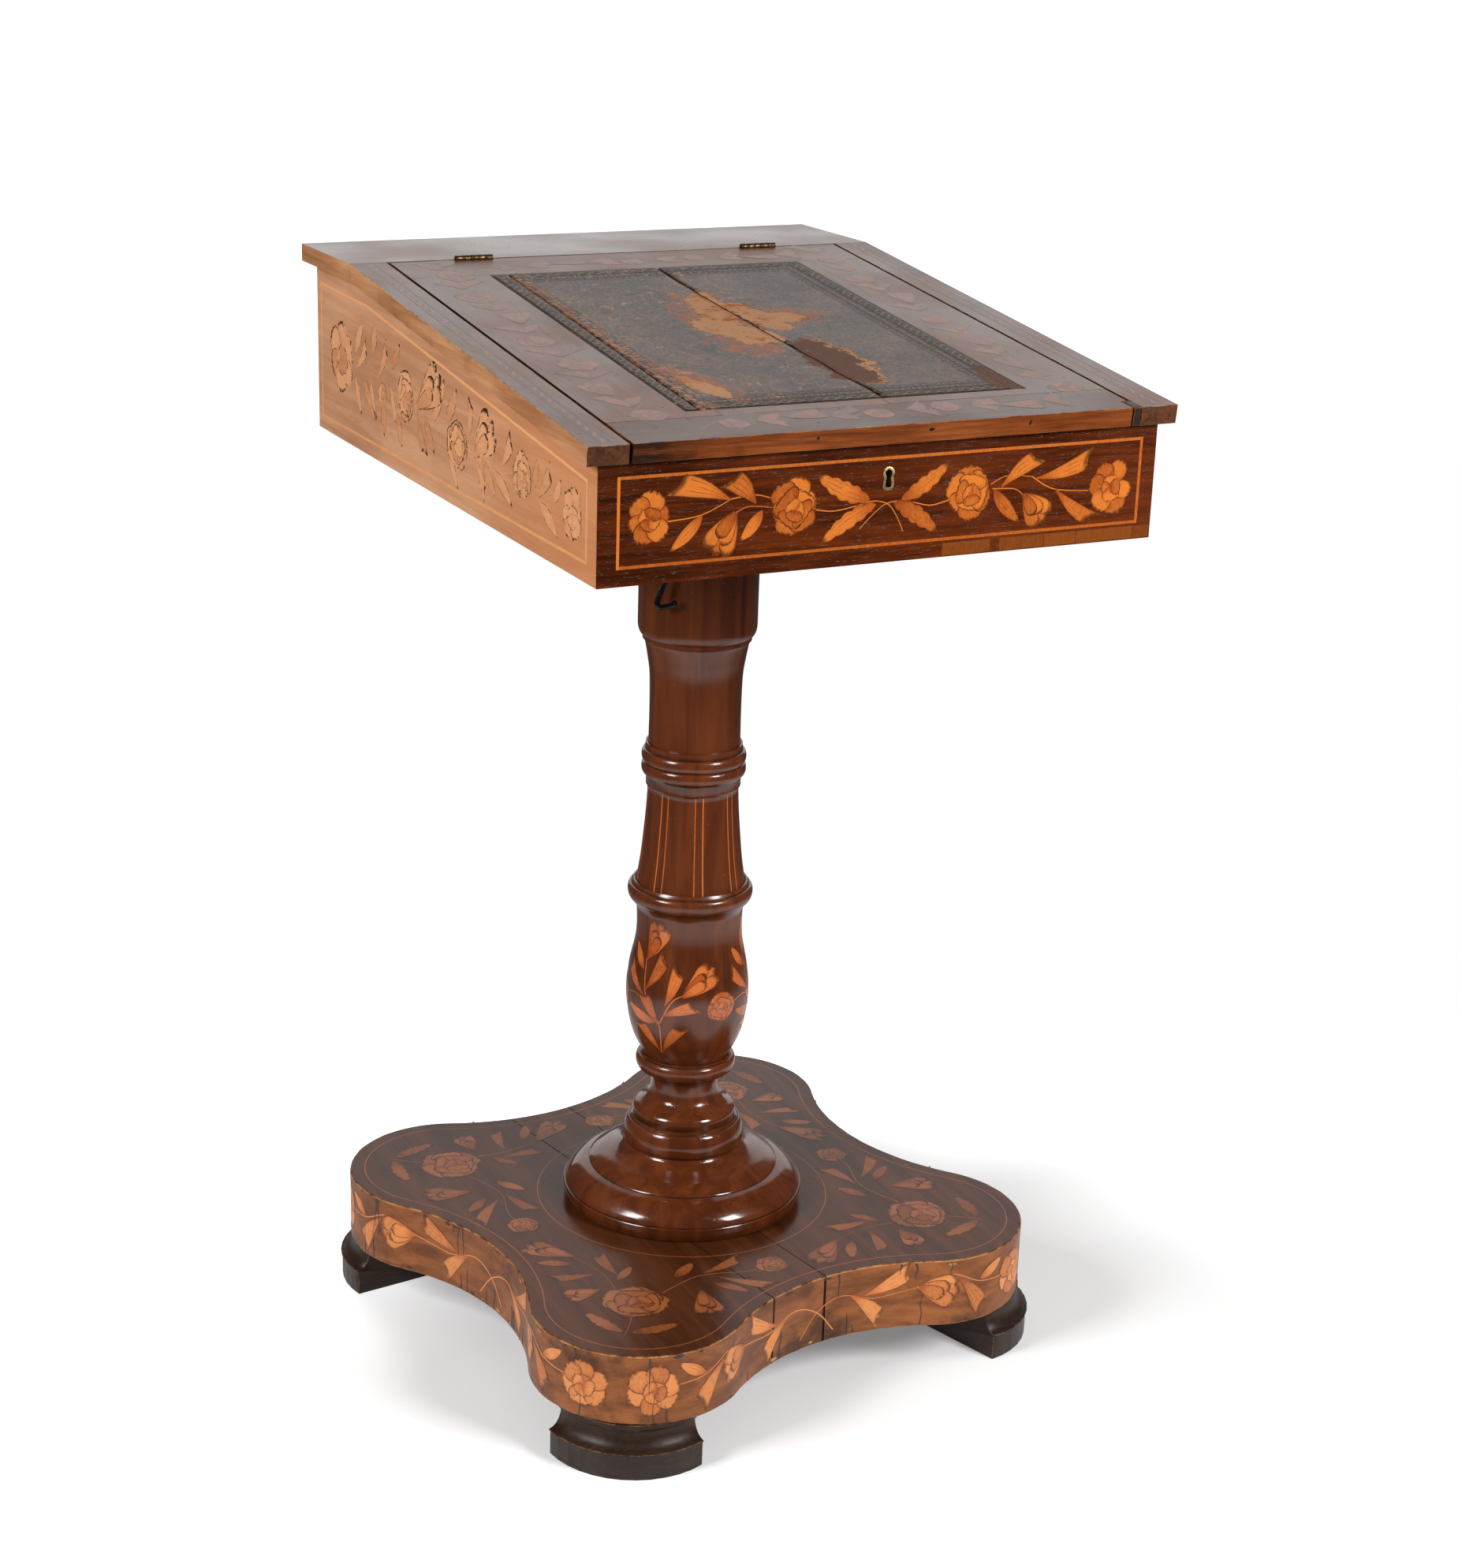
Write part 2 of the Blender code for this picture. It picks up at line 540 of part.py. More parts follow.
    spigot_top = BLOCK_TOP - COLLAR_SEAT
    collar = [(0.0, spigot_top), (SPIGOT_RADIUS, spigot_top), (SPIGOT_RADIUS, COLLAR_HEIGHT)]
    collar += [(COLLAR_RADIUS - fillet, COLLAR_HEIGHT), (COLLAR_RADIUS, COLLAR_HEIGHT - fillet)]
    collar += [(COLLAR_RADIUS, COLLAR_CHAMFER)]
    collar += quarter((COLLAR_RADIUS, COLLAR_CHAMFER), (NECK_TOP_RADIUS + 0.0003, 0.0), 3, hollow=True)
    turned("column_collar", collar + TENON, COLLAR_SEAT)


# Box

def build_panels():
    """Four mitred panels; the side panels' tops follow the slope and then the top board."""
    front, back = FACE_FRONT, FACE_BACK
    low = PANEL_BOTTOM
    tall = RAIL_BOTTOM - SEAT
    under_slope = (0, RAIL_FRONT, slope_under(RAIL_FRONT) - SEAT)
    slope_normal = (0, -math.sin(SLOPE), math.cos(SLOPE))
    inner = HALF_WIDTH - WALL
    plans = {
        "front_panel": ([(-HALF_WIDTH, front), (HALF_WIDTH, front), (inner, front + WALL),
                         (-inner, front + WALL)], FRONT_VENEER),
        "back_panel": ([(HALF_WIDTH, back), (-HALF_WIDTH, back), (-inner, back - WALL),
                        (inner, back - WALL)], CARCASS),
        "left_panel": ([(-HALF_WIDTH, back - MITRE), (-HALF_WIDTH, front + MITRE),
                        (-inner, front + WALL + MITRE), (-inner, back - WALL - MITRE)], FADED),
        "right_panel": ([(HALF_WIDTH, front + MITRE), (HALF_WIDTH, back - MITRE),
                         (inner, back - WALL - MITRE), (inner, front + WALL + MITRE)], FADED),
    }
    made = {}
    for name, (plan, finish) in plans.items():
        bm = prism_mesh(plan, low, tall)
        if name != "back_panel":
            trim(bm, under_slope, slope_normal)
        made[name] = place(bm, name, finish, BOX)
    return made


def build_floor():
    """Bottom board between the panels, and the block on it that takes the column's spigot."""
    side = HALF_WIDTH - WALL - SEAT
    board = place(box_mesh((-side, FACE_FRONT + WALL + SEAT, BOARD_BOTTOM),
                           (side, FACE_BACK - WALL - SEAT, BOARD_TOP)), "bottom_board", CARCASS, BOX)
    half = PIVOT_BLOCK_SIDE / 2
    column = (0, COLUMN_SETBACK, 0)
    block = place(box_mesh((-half, -half, BOARD_TOP + SEAT), (half, half, BLOCK_TOP)),
                  "pivot_block", CARCASS, BOX, column)
    bore = place(rod_mesh(SPIGOT_RADIUS + RUNNING, BOARD_BOTTOM - 0.01, BLOCK_TOP + 0.01, segments=26),
                 "spigot_bore", None, BOX, column, cutter=True)
    boolean(board, bore)
    boolean(block, bore)
    shank = place(rod_mesh(HOOK_WIRE + SEAT, BOARD_BOTTOM - 0.002, BOARD_TOP + 0.002, segments=10),
                  "eye_shank_hole", None, BOX, (*HOOK_PLACE, 0), cutter=True)
    boolean(board, shank)


def build_caps():
    """Top board along the back, the two sloping strips and the little corner block."""
    rail = place(box_mesh((-EDGE_SIDE, RAIL_FRONT, RAIL_BOTTOM), (EDGE_SIDE, EDGE_BACK, RAIL_TOP)),
                 "top_board", VENEER, BOX)
    strip_end = Vector((0, SLOPE_BACK - SEAT, SLOPE_TOP))
    upright = (0, math.cos(SLOPE), -math.sin(SLOPE))
    for name, low, high in (("left", -EDGE_SIDE, -STRIP_INNER), ("right", STRIP_INNER, EDGE_SIDE)):
        bm = box_mesh((low, SLOPE_FRONT, SLOPE_BOTTOM), (high, SLOPE_BACK + TOP_THICKNESS, SLOPE_TOP))
        trim(bm, strip_end, upright)
        place(bm, f"{name}_cap_strip", VENEER, SLOPE_FRAME)
    block = box_mesh((STRIP_INNER - SEAT - CORNER_BLOCK_WIDTH, SLOPE_FRONT, SLOPE_BOTTOM),
                     (STRIP_INNER - SEAT, SLOPE_FRONT + CORNER_BLOCK_LENGTH, SLOPE_TOP))
    place(block, "corner_block", CARCASS, SLOPE_FRAME)
    return rail


# Lid

def build_lid():
    """Three core boards between two clamps, with a recess for the leather."""
    back_plane = Vector((0, SLOPE_BACK - LID_GAP * math.cos(SLOPE), SLOPE_TOP))
    upright = (0, math.cos(SLOPE), -math.sin(SLOPE))
    clamp_end = SLOPE_FRONT + FRONT_CLAMP
    board_end = back_plane.y - BACK_CLAMP
    notch_side = STRIP_INNER - SEAT - CORNER_BLOCK_WIDTH - CORNER_BLOCK_AIR
    notch_end = SLOPE_FRONT + CORNER_BLOCK_LENGTH + CORNER_BLOCK_AIR

    front = place(box_mesh((-LID_SIDE, SLOPE_FRONT, SLOPE_BOTTOM), (LID_SIDE, clamp_end, SLOPE_TOP)),
                  "lid_front_clamp", VENEER, LID)
    notch = place(box_mesh((notch_side, SLOPE_FRONT - 0.01, SLOPE_BOTTOM - 0.01),
                           (LID_SIDE + 0.01, notch_end, SLOPE_TOP + 0.01)),
                  "corner_notch", None, LID, cutter=True)
    boolean(front, notch)

    bm = box_mesh((-LID_SIDE, board_end + SEAT, SLOPE_BOTTOM),
                  (LID_SIDE, back_plane.y + TOP_THICKNESS, SLOPE_TOP))
    trim(bm, back_plane, upright)
    back = place(bm, "lid_back_clamp", VENEER, LID)

    leather_low = SLOPE_FRONT + LEATHER_FRONT_MARGIN
    leather_high = back_plane.y - LEATHER_BACK_MARGIN
    recess = place(box_mesh((LEATHER_LEFT - SEAT, leather_low - SEAT, SLOPE_TOP - LEATHER_THICKNESS - SEAT),
                            (LEATHER_RIGHT + SEAT, leather_high + SEAT, SLOPE_TOP + 0.01)),
                   "leather_recess", None, LID, cutter=True)
    edges = (-LID_SIDE, *LID_JOINTS, LID_SIDE)
    for name, left, right in zip(("left", "middle", "right"), edges, edges[1:]):
        low = left if left == -LID_SIDE else left + SEAT / 2
        high = right if right == LID_SIDE else right - SEAT / 2
        board = place(box_mesh((low, clamp_end + SEAT, SLOPE_BOTTOM), (high, board_end, SLOPE_TOP)),
                      f"lid_board_{name}", VENEER, LID)
        boolean(board, recess)
    place(box_mesh((LEATHER_LEFT, leather_low, SLOPE_TOP - LEATHER_THICKNESS),
                   (LEATHER_RIGHT, leather_high, SLOPE_TOP)), "leather_panel", HIDE, LID)
    return front, back


# Hinges

def hinge_leaf(name, parent, frame_turn, centre, side, knuckles):
    """A leaf with its knuckles. Side is +1 on the top board and -1 on the lid.

    The leaf is drawn upright about the pin and then turned into its carrier's frame.
    """
    pitch = HINGE_LENGTH / HINGE_KNUCKLES
    near = LID_GAP / 2 - LEAF_PROUD
    far = near + LEAF_THICKNESS
    ys = sorted((side * near, side * far))
    leaf_top = -KNUCKLE_RADIUS - KNUCKLE_GAP
    half = HINGE_LENGTH / 2
    turn = Matrix.Rotation(-frame_turn, 4, "X")

    def shaped(bm, shape, cutter):
        bmesh.ops.transform(bm, matrix=turn, verts=bm.verts)
        return place(bm, shape, BRASS, parent, (centre, 0, 0), cutter=cutter)

    leaf = shaped(box_mesh((-half, ys[0], leaf_top - LEAF_HEIGHT), (half, ys[1], leaf_top)), name, False)
    for index in knuckles:
        low = -half + index * pitch + KNUCKLE_GAP / 2
        high = low + pitch - KNUCKLE_GAP
        neck = shaped(box_mesh((low + NECK_INSET, ys[0] + NECK_INSET, leaf_top - LEAF_THICKNESS),
                               (high - NECK_INSET, ys[1] - NECK_INSET, 0)), f"{name}_neck_{index}", True)
        barrel = shaped(rod_mesh(KNUCKLE_RADIUS, low, high, "X", 14), f"{name}_barrel_{index}", True)
        boolean(leaf, neck, "UNION")
        boolean(leaf, barrel, "UNION")
    bore = shaped(rod_mesh(PIN_RADIUS + PIN_RUNNING, -half - 0.01, half + 0.01, "X", 14),
                  f"{name}_bore", True)
    boolean(leaf, bore)


def build_hinges(rail, back_clamp):
    """Two butt hinges, let into the top board's front edge and the lid's back edge."""
    fixed = range(0, HINGE_KNUCKLES, 2)
    moving = range(1, HINGE_KNUCKLES, 2)
    depth = LEAF_THICKNESS - LEAF_PROUD + SEAT
    knuckle_depth = KNUCKLE_RADIUS - LID_GAP / 2 + SEAT
    depth = max(depth, knuckle_depth)
    low = -KNUCKLE_RADIUS - KNUCKLE_GAP - LEAF_HEIGHT - SEAT
    half = HINGE_LENGTH / 2 + SEAT
    for name, centre in zip(("left", "right"), HINGE_CENTRES):
        hinge_leaf(f"{name}_hinge_fixed_leaf", empty(f"{name}_hinge", HINGE_AXIS, parent=BOX), 0.0,
                   centre, 1, fixed)
        hinge_leaf(f"{name}_hinge_lid_leaf", LID, SLOPE, centre, -1, moving)
        place(rod_mesh(PIN_RADIUS, -HINGE_LENGTH / 2, HINGE_LENGTH / 2, "X", 14), f"{name}_hinge_pin",
              BRASS, BOX, HINGE_AXIS + Vector((centre, 0, 0)), smooth=True)
        for carrier, parent, side, turn in ((rail, BOX, 1, 0.0), (back_clamp, LID, -1, SLOPE)):
            edge = LID_GAP / 2
            ys = sorted((side * (edge - 0.002), side * (edge + depth)))
            bm = box_mesh((-half, ys[0], low), (half, ys[1], 0.01))
            bmesh.ops.transform(bm, matrix=Matrix.Rotation(-turn, 4, "X"), verts=bm.verts)
            origin = Vector((centre, 0, 0))
            if parent is BOX:
                origin = origin + HINGE_AXIS
            boolean(carrier, place(bm, f"{carrier.name}_{name}_mortise", None, parent, origin, cutter=True))


# Lock and escutcheon

def keyhole_outline(margin):
    """A keyhole as (x, z) points about its middle, grown by a margin all round."""
    bow = KEYHOLE_BOW + margin
    slot = KEYHOLE_SLOT / 2 + margin
    centre = KEYHOLE_HEIGHT / 2 - KEYHOLE_BOW
    foot = -KEYHOLE_HEIGHT / 2 - margin
    lean = math.degrees(math.asin(slot / bow))
    top = arc((0, centre), bow, -90 + lean, 270 - lean, 14)
    spread = KEYHOLE_SLOT / 2 * KEYHOLE_FLARE + margin
    return top + [(-spread, foot + slot * 0.6), (-spread * 0.6, foot), (spread * 0.6, foot),
                  (spread, foot + slot * 0.6)]


def keyhole_mesh(margin, front, back):
    """A keyhole-shaped prism through the front, from one y to another."""
    outline = [(x, z) for x, z in keyhole_outline(margin)]
    bm = prism_mesh(outline, -back, -front)
    bmesh.ops.transform(bm, matrix=Matrix.Rotation(math.pi / 2, 4, "X"), verts=bm.verts)
    return bm


def build_lock(front_panel, front_clamp):
    """Escutcheon, lock case with its cap, the bolt in it, and the strike plate in the lid."""
    middle = (0, 0, KEYHOLE_Z)
    face = FACE_FRONT
    hole = place(keyhole_mesh(0.0, face - 0.01, CASE_FRONT + CASE_WALL + 0.001), "keyhole", None, BOX, middle,
                 cutter=True)
    rim = place(keyhole_mesh(ESCUTCHEON_RIM + SEAT, face - 0.01, face + ESCUTCHEON_DEPTH + SEAT),
                "escutcheon_recess", None, BOX, middle, cutter=True)
    boolean(front_panel, rim)
    boolean(front_panel, hole)
    escutcheon = place(keyhole_mesh(ESCUTCHEON_RIM, face, face + ESCUTCHEON_DEPTH), "keyhole_escutcheon",
                       BRASS, BOX, middle)
    boolean(escutcheon, hole)

    half = CASE_WIDTH / 2
    case_back = CASE_FRONT + CASE_DEPTH
    case_low = CASE_TOP - CASE_HEIGHT
    case = place(box_mesh((-half, CASE_FRONT, case_low), (half, case_back, CASE_TOP)), "lock_case", BRASS, BOX)
    hollow = place(box_mesh((-half + CASE_WALL, CASE_FRONT + CASE_WALL, case_low + CASE_WALL),
                            (half - CASE_WALL, case_back + 0.01, CASE_TOP - CASE_WALL)),
                   "case_hollow", None, BOX, cutter=True)
    bolt_half = BOLT_WIDTH / 2
    slot = place(box_mesh((-bolt_half - RUNNING, BOLT_FRONT - RUNNING, CASE_TOP - 2 * CASE_WALL),
                          (bolt_half + RUNNING, BOLT_FRONT + BOLT_THICKNESS + RUNNING, CASE_TOP + 0.01)),
                 "bolt_slot", None, BOX, cutter=True)
    for cutter in (hollow, slot, hole):
        boolean(case, cutter)
    place(box_mesh((-half, case_back + SEAT, case_low), (half, case_back + SEAT + CAP_THICKNESS, CASE_TOP)),
          "lock_cap", BRASS, BOX)

    bolt_origin = Vector((0, BOLT_FRONT + BOLT_THICKNESS / 2, CASE_TOP))
    place(box_mesh((-bolt_half, -BOLT_THICKNESS / 2, -BOLT_HEIGHT), (bolt_half, BOLT_THICKNESS / 2, 0)),
          "lock_bolt", BRASS, BOX, bolt_origin)

    in_slope = Matrix.Rotation(-SLOPE, 3, "X") @ (bolt_origin - HINGE_AXIS)
    middle_y = in_slope.y
    plate_top = SLOPE_BOTTOM + STRIKE_THICKNESS
    long, wide = STRIKE_LENGTH / 2, STRIKE_WIDTH / 2
    way_x = bolt_half + STRIKE_CLEARANCE
    way_y = BOLT_THICKNESS / 2 + STRIKE_PLAY
    plate = place(box_mesh((-long, middle_y - wide, SLOPE_BOTTOM), (long, middle_y + wide, plate_top)),
                  "strike_plate", BRASS, LID)
    way = place(box_mesh((-way_x, middle_y - way_y, SLOPE_BOTTOM - 0.01),
                         (way_x, middle_y + way_y, SLOPE_BOTTOM + STRIKE_MORTISE)),
                "bolt_way", None, LID, cutter=True)
    seat = place(box_mesh((-long - SEAT, middle_y - wide - SEAT, SLOPE_BOTTOM - 0.01),
                          (long + SEAT, middle_y + wide + SEAT, plate_top + SEAT)),
                 "strike_seat", None, LID, cutter=True)
    boolean(plate, way)
    boolean(front_clamp, seat)
    boolean(front_clamp, way)


# Hook

def wire(name, points, parent, origin, closed=False, cutter=False):
    """A round wire along points, as a mesh."""
    curve = bpy.data.curves.new(name, "CURVE")
    curve.dimensions = "3D"
    curve.bevel_depth = HOOK_WIRE
    curve.bevel_resolution = 2
    curve.use_fill_caps = not closed
    spline = curve.splines.new("POLY")
    spline.points.add(len(points) - 1)
    spline.use_cyclic_u = closed
    for target, point in zip(spline.points, points):
        target.co = (*point, 1.0)
    guide = bpy.data.objects.new(name + "_guide", curve)
    CUTTERS.objects.link(guide)
    bpy.context.view_layer.update()
    graph = bpy.context.evaluated_depsgraph_get()
    mesh = bpy.data.meshes.new_from_object(guide.evaluated_get(graph))
    bpy.data.objects.remove(guide, do_unlink=True)
    bm = bmesh.new()
    bm.from_mesh(mesh)
    bmesh.ops.remove_doubles(bm, verts=bm.verts, dist=1e-5)
    return place(bm, name, IRON, parent, origin, cutter=cutter, smooth=True)


def build_hook():
    """A screw eye in the bottom board, and the hook that hangs in it.

    In the hook's frame Y is the pivot, and the hook lies in the XZ plane. The eye's ring stands
    across it, in the YZ plane, with its lowest wire through the pivot.
    """
    eye_ring = [(0.0, y, z) for y, z in arc((0, EYE_RADIUS), EYE_RADIUS, 0, 360, 18)[:-1]]
    eye = wire("screw_eye", eye_ring, HOOK, (0, 0, 0), closed=True)
    shank_top = 2 * EYE_RADIUS + EYE_SHANK + BOTTOM_THICKNESS
    shank = place(rod_mesh(HOOK_WIRE, 2 * EYE_RADIUS - HOOK_WIRE / 2, shank_top, segments=10), "eye_shank",
                  None, HOOK, cutter=True)
    boolean(eye, shank, "UNION")

    hang = HOOK_RING_RADIUS - 2 * HOOK_WIRE - SEAT
    ring_centre = -hang
    hook_ring = [(x, 0.0, z) for x, z in arc((0, ring_centre), HOOK_RING_RADIUS, 0, 360, 18)[:-1]]
    ring_foot = ring_centre - HOOK_RING_RADIUS
    bend = HOOK_WIRE * 3
    low = ring_foot - HOOK_DROP
    shank_path = [(0.0, ring_foot + HOOK_WIRE / 2), (0.0, ring_foot - HOOK_DROP * 0.55),
                  (-HOOK_CRANK * 0.35, ring_foot - HOOK_DROP * 0.72), (-HOOK_CRANK, low + bend)]
    curl = arc((-HOOK_CRANK + bend, low + bend), bend, 200, 290, 5)
    tip = [(-HOOK_CRANK + bend + HOOK_TIP * 0.6, low + bend * 0.35), (-HOOK_CRANK + bend + HOOK_TIP, low + bend)]
    stem_points = [(x, 0.0, z) for x, z in shank_path + curl + tip]
    hook = wire("iron_hook", stem_points, HOOK, (0, 0, 0))
    ring = wire("hook_ring", hook_ring, HOOK, (0, 0, 0), closed=True, cutter=True)
    boolean(hook, ring, "UNION")


build_feet()
build_platform()
build_column()
panels = build_panels()
build_floor()
top_board = build_caps()
clamp_front, clamp_back = build_lid()
build_hinges(top_board, clamp_back)
build_lock(panels["front_panel"], clamp_front)
build_hook()
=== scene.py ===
"""Looks of a marquetry slope desk on a turned pedestal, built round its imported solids."""

from __future__ import annotations

import cmath
import json
import logging
import math
import random
from dataclasses import dataclass, field, replace
from enum import Enum
from typing import Callable, Iterable, Optional, Protocol, Sequence

import bmesh
import bpy
from mathutils import Matrix, Vector, noise

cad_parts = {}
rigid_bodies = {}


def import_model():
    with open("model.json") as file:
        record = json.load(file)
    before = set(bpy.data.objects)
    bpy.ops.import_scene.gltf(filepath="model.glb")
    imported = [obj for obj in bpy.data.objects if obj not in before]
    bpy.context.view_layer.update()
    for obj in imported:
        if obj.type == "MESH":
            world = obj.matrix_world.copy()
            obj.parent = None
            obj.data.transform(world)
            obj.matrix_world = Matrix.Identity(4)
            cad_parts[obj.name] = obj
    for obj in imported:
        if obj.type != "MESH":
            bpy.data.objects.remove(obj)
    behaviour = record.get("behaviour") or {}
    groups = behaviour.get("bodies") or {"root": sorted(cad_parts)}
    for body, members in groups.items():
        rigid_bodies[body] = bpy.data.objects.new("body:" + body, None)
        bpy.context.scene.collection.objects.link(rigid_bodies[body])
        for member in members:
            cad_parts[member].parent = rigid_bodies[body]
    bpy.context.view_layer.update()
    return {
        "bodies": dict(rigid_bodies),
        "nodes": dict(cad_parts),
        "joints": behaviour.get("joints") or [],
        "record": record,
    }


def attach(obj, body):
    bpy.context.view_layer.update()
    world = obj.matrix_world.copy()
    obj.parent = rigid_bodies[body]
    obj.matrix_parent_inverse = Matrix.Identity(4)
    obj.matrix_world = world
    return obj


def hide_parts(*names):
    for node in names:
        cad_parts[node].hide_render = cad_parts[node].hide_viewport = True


LOG = logging.getLogger("writing_desk")
MM = 0.001

Colour = tuple[float, float, float, float]
Spot = tuple[float, float]
Socket = bpy.types.NodeSocket
BMesh = bmesh.types.BMesh
BMEdge = bmesh.types.BMEdge

RIGHT = Vector((1, 0, 0))
BACK = Vector((0, 1, 0))
UP = Vector((0, 0, 1))
WHITE = (1.0, 1.0, 1.0, 1.0)

# Shared places of the desk, in metres

COLUMN_Y = 0.008
BASE_TURN = math.radians(9.9)
PLATFORM_LOW = 0.0440
PLATFORM_HIGH = 0.1040
HINGE_AXIS = Vector((0.0, 0.17505, 0.8828))
SLOPE = math.atan2(0.053, 0.4713)
SLOPE_TOP = -0.000935
SLOPE_FRONT = -0.47312
SLOPE_TURN = Matrix.Rotation(SLOPE, 3, "X")

# Thin things, in metres, and the number of lifts that sheets take in turn

SAME_POINT = 2e-6
TURNED_POINT = 1e-6
CUT_POINT = 1e-7
FLAT_STEP = 1e-9
INLAY_THICKNESS = 0.0004
INLAY_LIFT = 0.00004
LAYER_LIFT = 0.00003
STAGGER = 0.000004
STAGGERS = 7
CURVED_LIFT = 0.00012
CHIP_LIFT = 0.00022
CRACK_LIFT = 0.00026
LINE_WIDTH = 0.0009


def shade(red: int, green: int, blue: int) -> Colour:
    """Turns a colour as a screen shows it into the linear one that a shader takes.

    Args:
        red: Red, from 0 to 255.
        green: Green, from 0 to 255.
        blue: Blue, from 0 to 255.

    Returns:
        The linear colour with full alpha.
    """
    parts = []
    for part in (red, green, blue):
        share = part / 255
        parts.append(share / 12.92 if share <= 0.04045 else ((share + 0.055) / 1.055) ** 2.4)
    return (parts[0], parts[1], parts[2], 1.0)


class Grain(Enum):
    """How the figure is stretched along the axes by the way that the fibres run."""

    X = (0.06, 1.0, 1.0)
    Y = (1.0, 0.06, 1.0)
    Z = (1.0, 1.0, 0.06)
    ROUND = (0.30, 0.30, 1.0)


class Cut(Enum):
    """Outlines that the veneer cutter saws."""

    LANCE = "lance"
    FLARED = "flared"
    SERRATED = "serrated"
    PETAL = "petal"
    BUD = "bud"


class Sheet(Enum):
    """Kinds of sawn sheet, as the number that the inlay's finish reads."""

    LINE = 0.0
    LEAF = 1.0
    PETAL = 2.0


class Bloom(Enum):
    """Kinds of open flower, each as rings of (inner share, outer share, petals, overlap)."""

    OPEN = ((0.16, 1.0, 6, 1.3), (0.0, 0.46, 4, 1.25))
    PEONY = ((0.28, 1.0, 6, 1.5), (0.12, 0.70, 4, 1.6), (0.0, 0.38, 3, 1.3))
    SMALL = ((0.20, 1.0, 5, 1.2), (0.0, 0.42, 3, 1.1))


# Node materials

class NodeBoard:
    """A node tree in the making."""

    def __init__(self, tree: bpy.types.NodeTree) -> None:
        """Starts on a tree."""
        self.tree = tree

    def wire(self, socket: Socket, value: object) -> None:
        """Joins a socket to another one, or sets its plain value."""
        if isinstance(value, Socket):
            self.tree.links.new(value, socket)
        else:
            socket.default_value = value

    def place(self, scale: Sequence[float] = (1, 1, 1), turn: float = 0.0, uv: bool = False) -> Socket:
        """Coordinates of the piece, stretched and turned about Z.

        Args:
            scale: Stretch along each axis.
            turn: Turn about Z in radians.
            uv: Whether the piece's own UV map is read instead of its place.

        Returns:
            The mapped coordinates.
        """
        source = self.tree.nodes.new("ShaderNodeTexCoord")
        mapping = self.tree.nodes.new("ShaderNodeMapping")
        mapping.inputs["Scale"].default_value = scale
        mapping.inputs["Rotation"].default_value = (0, 0, turn)
        self.wire(mapping.inputs["Vector"], source.outputs["UV" if uv else "Object"])
        return mapping.outputs["Vector"]

    def split(self, where: Socket) -> tuple[Socket, Socket]:
        """The first two parts of a coordinate."""
        node = self.tree.nodes.new("ShaderNodeSeparateXYZ")
        self.wire(node.inputs[0], where)
        return node.outputs[0], node.outputs[1]

    def noise(self, where: Socket, scale: float, detail: float = 3.0, rough: float = 0.55,
              bent: float = 0.0) -> Socket:
        """A noise pattern.

        Args:
            where: Coordinates it is drawn on.
            scale: Patches in a metre.
            detail: Number of finer layers.
            rough: Weight of the finer layers.
            bent: How far the pattern is bent.

        Returns:
            The pattern's value, from 0 to 1.
        """
        node = self.tree.nodes.new("ShaderNodeTexNoise")
        self.wire(node.inputs["Vector"], where)
        node.inputs["Scale"].default_value = scale
        node.inputs["Detail"].default_value = detail
        node.inputs["Roughness"].default_value = rough
        node.inputs["Distortion"].default_value = bent
        return node.outputs["Fac"]

    def sums(self, operation: str, first: object, second: object = 0.0, clamp: bool = False) -> Socket:
        """One step of arithmetic.

        Args:
            operation: Name of the operation.
            first: First number or socket.
            second: Second number or socket.
            clamp: Whether the result is held from 0 to 1.

        Returns:
            The result.
        """
        node = self.tree.nodes.new("ShaderNodeMath")
        node.operation = operation
        node.use_clamp = clamp
        self.wire(node.inputs[0], first)
        self.wire(node.inputs[1], second)
        return node.outputs[0]

    def times(self, first: object, second: object) -> Socket:
        """The product of two values."""
        return self.sums("MULTIPLY", first, second)

    def plus(self, first: object, second: object) -> Socket:
        """The sum of two values."""
        return self.sums("ADD", first, second)

    def minus(self, first: object, second: object) -> Socket:
        """The first value less the second."""
        return self.sums("SUBTRACT", first, second)

    def most(self, first: object, second: object) -> Socket:
        """The greater of two values."""
        return self.sums("MAXIMUM", first, second)

    def least(self, first: object, second: object) -> Socket:
        """The lesser of two values."""
        return self.sums("MINIMUM", first, second)

    def fade(self, value: object, low: float, high: float, start: object = 0.0,
             end: object = 1.0) -> Socket:
        """Carries a value smoothly from one range into another.

        Args:
            value: What is carried over.
            low: Value that gives start.
            high: Value that gives end.
            start: Result at low and beyond it.
            end: Result at high and beyond it.

        Returns:
            The carried value.
        """
        node = self.tree.nodes.new("ShaderNodeMapRange")
        node.interpolation_type = "SMOOTHSTEP"
        self.wire(node.inputs["Value"], value)
        if low > high:
            low, high, start, end = high, low, end, start
        node.inputs["From Min"].default_value = low
        node.inputs["From Max"].default_value = high
        self.wire(node.inputs["To Min"], start)
        self.wire(node.inputs["To Max"], end)
        return node.outputs["Result"]

    def blend(self, share: object, first: object, second: object, mode: str = "MIX") -> Socket:
        """Mixes two colours.

        Args:
            share: Weight of the second colour.
            first: First colour.
            second: Second colour.
            mode: How they are mixed.

        Returns:
            The mixed colour.
        """
        node = self.tree.nodes.new("ShaderNodeMix")
        node.data_type = "RGBA"
        node.blend_type = mode
        self.wire(node.inputs[0], share)
        self.wire(node.inputs[6], first)
        self.wire(node.inputs[7], second)
        return node.outputs[2]

    def attribute(self, name: str) -> Socket:
        """A number kept on the piece's own mesh."""
        node = self.tree.nodes.new("ShaderNodeAttribute")
        node.attribute_name = name
        return node.outputs["Fac"]


